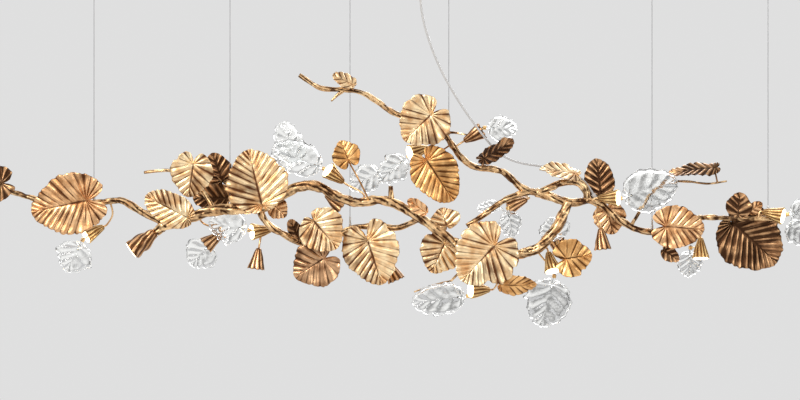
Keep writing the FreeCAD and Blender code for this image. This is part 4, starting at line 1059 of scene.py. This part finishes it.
for name, (mouth, axis, which) in LAMPS.items():
    axis = Vector(axis).normalized()
    mouth = station(*mouth)
    lit = name not in UNLIT
    if which == "end":
        kind = (END_CUP, UNLIT_RIBS, END_TWIST, END_DENTS, 0.0)
    elif lit:
        kind = (CUP, CUP_RIBS, CUP_TWIST, PLAIN_DENTS, 0.0)
    else:
        kind = (CUP, UNLIT_RIBS, CUP_TWIST, PLAIN_DENTS, LIP_REACH)
    # Lit plain cups take the copy of the brass with painted lamp glow.
    look = LOOKS["cup" if lit and which == "plain" else "unlit"]
    points, facets, valleys_and_painted_shade = cup_mesh(mouth, axis, *kind)
    cup = add_piece("cup_" + name, points, facets, look, valleys_and_painted_shade=valleys_and_painted_shade)
    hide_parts("lamp_cups")
    radius = (END_CUP if which == "end" else CUP)[2] * (1 - CUP_GROOVE) - CUP_WALL - SEAT
    points, facets = lens_mesh(mouth, axis, radius, LENS_STAND if lit else FROSTED_STAND)
    lens = add_piece("lens_" + name, points, facets, LED_DISC if lit else FROSTED)
    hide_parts("lamp_diffusers")

# ---------------------------------------------------------------- pieces kept from the frame


def dressed(node, look, edge=0.0, rounds=0):
    """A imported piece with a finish, its edges broken or its facets rounded."""
    piece = NODES[node]
    piece.data.materials.clear()
    piece.data.materials.append(look)
    piece.modifiers.new("Weld", "WELD").merge_threshold = MERGE_WITHIN
    if edge:
        bevel = piece.modifiers.new("Bevel", "BEVEL")
        bevel.width = edge * MM
        bevel.segments = 3
        bevel.limit_method = "ANGLE"
        bevel.harden_normals = False
    if rounds:
        piece.modifiers.new("Round", "SUBSURF").render_levels = rounds


dressed("lamp_stems", LOOKS["bark"], rounds=1)
# The clips take the cup brass with painted lamp glow.
dressed("leaf_clips", LOOKS["cup"])
dressed("grub_screws", NICKEL)
dressed("led_modules", NICKEL)
for node in ("ceiling_anchors", "anchor_caps", "wire_stops", "hanger_studs", "wire_ferrules"):
    dressed(node, NICKEL, edge=0.3)
dressed("canopy_cover", CANOPY, edge=0.3)
dressed("mounting_plate", NICKEL, edge=0.2)
dressed("canopy_screws", NICKEL, edge=0.3)
dressed("led_driver", WHITE_CASE, edge=0.5)
dressed("terminal_block", NYLON, edge=0.3)
dressed("cord_grip", SHEATH, edge=0.5)
dressed("cord_gland", SHEATH, edge=0.8)

# ---------------------------------------------------------------- wires and cord


def line(name, route, radius, look, node):
    """A round cord along a route, on one smooth curve."""
    curve = bpy.data.curves.new(name, "CURVE")
    curve.dimensions = "3D"
    spline = curve.splines.new("NURBS")
    spline.points.add(len(route) - 1)
    for control, point in zip(spline.points, route):
        control.co = (*point, 1.0)
    spline.order_u = 3
    spline.use_endpoint_u = True
    spline.resolution_u = 12
    curve.bevel_depth = radius
    curve.bevel_resolution = 5
    curve.use_fill_caps = True
    curve.materials.append(look)
    piece = bpy.data.objects.new(name, curve)
    bpy.context.scene.collection.objects.link(piece)
    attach(piece, ROOT)
    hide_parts(node)
    return piece


WIRE_RADIUS = 0.00075
CORD_RADIUS = 0.00275
WIRES = ("wire_far_left", "wire_left", "wire_rear", "wire_upper", "wire_right", "wire_far_right")
for node in WIRES:
    low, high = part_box(node)
    x = (low[0] + high[0]) / 2
    y = (low[1] + high[1]) / 2
    route = [(x, y, high[2]), (x, y, (low[2] + high[2]) / 2), (x, y, low[2])]
    wire = line("strand_" + node[5:], route, WIRE_RADIUS, STRAND, node)

CORD_ROUTE = [
    (0, 0, -0.050), (0, 0, -0.092), (0.009, -0.002, -0.148), (0.027, -0.006, -0.206),
    (0.050, -0.012, -0.262), (0.078, -0.020, -0.315), (0.110, -0.028, -0.366),
    (0.143, -0.034, -0.412), (0.172, -0.030, -0.449), (0.204, -0.018, -0.480),
    (0.245, -0.005, -0.497), (0.290, 0.008, -0.504), (0.338, 0.014, -0.508),
    (0.376, 0.013, -0.518), (0.406, 0.008, -0.537), (0.423, 0.003, -0.557), (0.433, 0, -0.575),
]
cord = line("supply_cord", CORD_ROUTE, CORD_RADIUS, SHEATH, "power_cord")

# ---------------------------------------------------------------- floor, light and camera

FLOOR_HEIGHT = -2.4
FLOOR_HALF = 15.0
FLOOR_LIFT = 0.17
BACKGROUND = (0.74, 0.74, 0.74)
SKY_LIGHT = (0.60, 0.60, 0.61)
# Grey of the studio as metal and glass see it, from below (0) to overhead (1).
SKY_TONES = ((0.15, 0.05), (0.38, 0.10), (0.45, 0.34), (0.50, 0.74), (0.54, 0.92), (0.66, 1.0))
# The studio is paler to the left than to the right.
SKY_WAY = (-0.35, 0.0, 1.0)


def floor():
    mesh = bpy.data.meshes.new("floor")
    half = FLOOR_HALF
    mesh.from_pydata(
        [(-half, -half, FLOOR_HEIGHT), (half, -half, FLOOR_HEIGHT),
         (half, half, FLOOR_HEIGHT), (-half, half, FLOOR_HEIGHT)], [], [(0, 1, 2, 3)])
    look, nodes, links, shader = node_material("floor_pale")
    shader.inputs["Base Color"].default_value = (0.90, 0.89, 0.88, 1.0)
    shader.inputs["Roughness"].default_value = 0.8
    path = nodes.new("ShaderNodeLightPath")
    shader.inputs["Emission Color"].default_value = (1.0, 1.0, 1.0, 1.0)
    links.new(
        ranged(nodes, links, path.outputs["Is Camera Ray"], 0.0, 1.0, 0.0, FLOOR_LIFT),
        shader.inputs["Emission Strength"])
    mesh.materials.append(look)
    piece = bpy.data.objects.new("floor", mesh)
    bpy.context.scene.collection.objects.link(piece)


def world():
    """Pale to the camera, to metal and to glass; softer as a light."""
    studio = bpy.data.worlds.new("studio")
    bpy.context.scene.world = studio
    studio.use_nodes = True
    nodes = studio.node_tree.nodes
    links = studio.node_tree.links
    background = nodes["Background"]
    path = nodes.new("ShaderNodeLightPath")
    glossy = path.outputs["Is Glossy Ray"]
    through = path.outputs["Is Transmission Ray"]
    seen = either(nodes, links, path.outputs["Is Camera Ray"], through)
    shown = either(nodes, links, seen, glossy)
    place = nodes.new("ShaderNodeTexCoord")
    height = nodes.new("ShaderNodeVectorMath")
    height.operation = "DOT_PRODUCT"
    links.new(place.outputs["Generated"], height.inputs[0])
    height.inputs[1].default_value = SKY_WAY
    sky = nodes.new("ShaderNodeValToRGB")
    for position, grey in SKY_TONES:
        stop = sky.color_ramp.elements.new(position)
        stop.color = (grey, 0.985 * grey, 0.965 * grey, 1.0)
    links.new(ranged(nodes, links, height.outputs["Value"], -1.0, 1.0), sky.inputs["Fac"])
    bent = either(nodes, links, glossy, through)
    plain = mixed(nodes, links, bent, BACKGROUND, sky.outputs["Color"])
    light = mixed(nodes, links, shown, SKY_LIGHT, plain)
    links.new(light, background.inputs["Color"])


def area_light(name, place, target, size, power, colour=(1, 1, 1)):
    lamp = bpy.data.lights.new(name, "AREA")
    lamp.size = size
    lamp.energy = power
    lamp.color = colour
    holder = bpy.data.objects.new(name, lamp)
    holder.location = place
    way = Vector(target) - Vector(place)
    holder.rotation_euler = way.to_track_quat("-Z", "Y").to_euler()
    bpy.context.scene.collection.objects.link(holder)


CENTRE = (0.0, 0.0, -0.6)
# The camera, in millimetres.
SENSOR = 36.0
LENS = 108.0
floor()
world()
area_light("key", (-2.2, -3.2, 1.4), CENTRE, 1.6, 95, (1.0, 0.97, 0.92))
area_light("fill", (2.8, -3.0, -0.2), CENTRE, 2.2, 40)
area_light("back", (1.0, 3.2, 1.2), CENTRE, 2.0, 60)

camera_data = bpy.data.cameras.new("camera")
camera_data.sensor_width = SENSOR
camera_data.lens = LENS
camera = bpy.data.objects.new("camera", camera_data)
camera.location = (VIEWER_ACROSS * MM, -VIEWER_DISTANCE * MM, VIEWER_HEIGHT * MM)
camera.rotation_euler = (math.radians(90), 0, 0)
bpy.context.scene.collection.objects.link(camera)
bpy.context.scene.camera = camera
bpy.context.scene.view_settings.view_transform = "Standard"
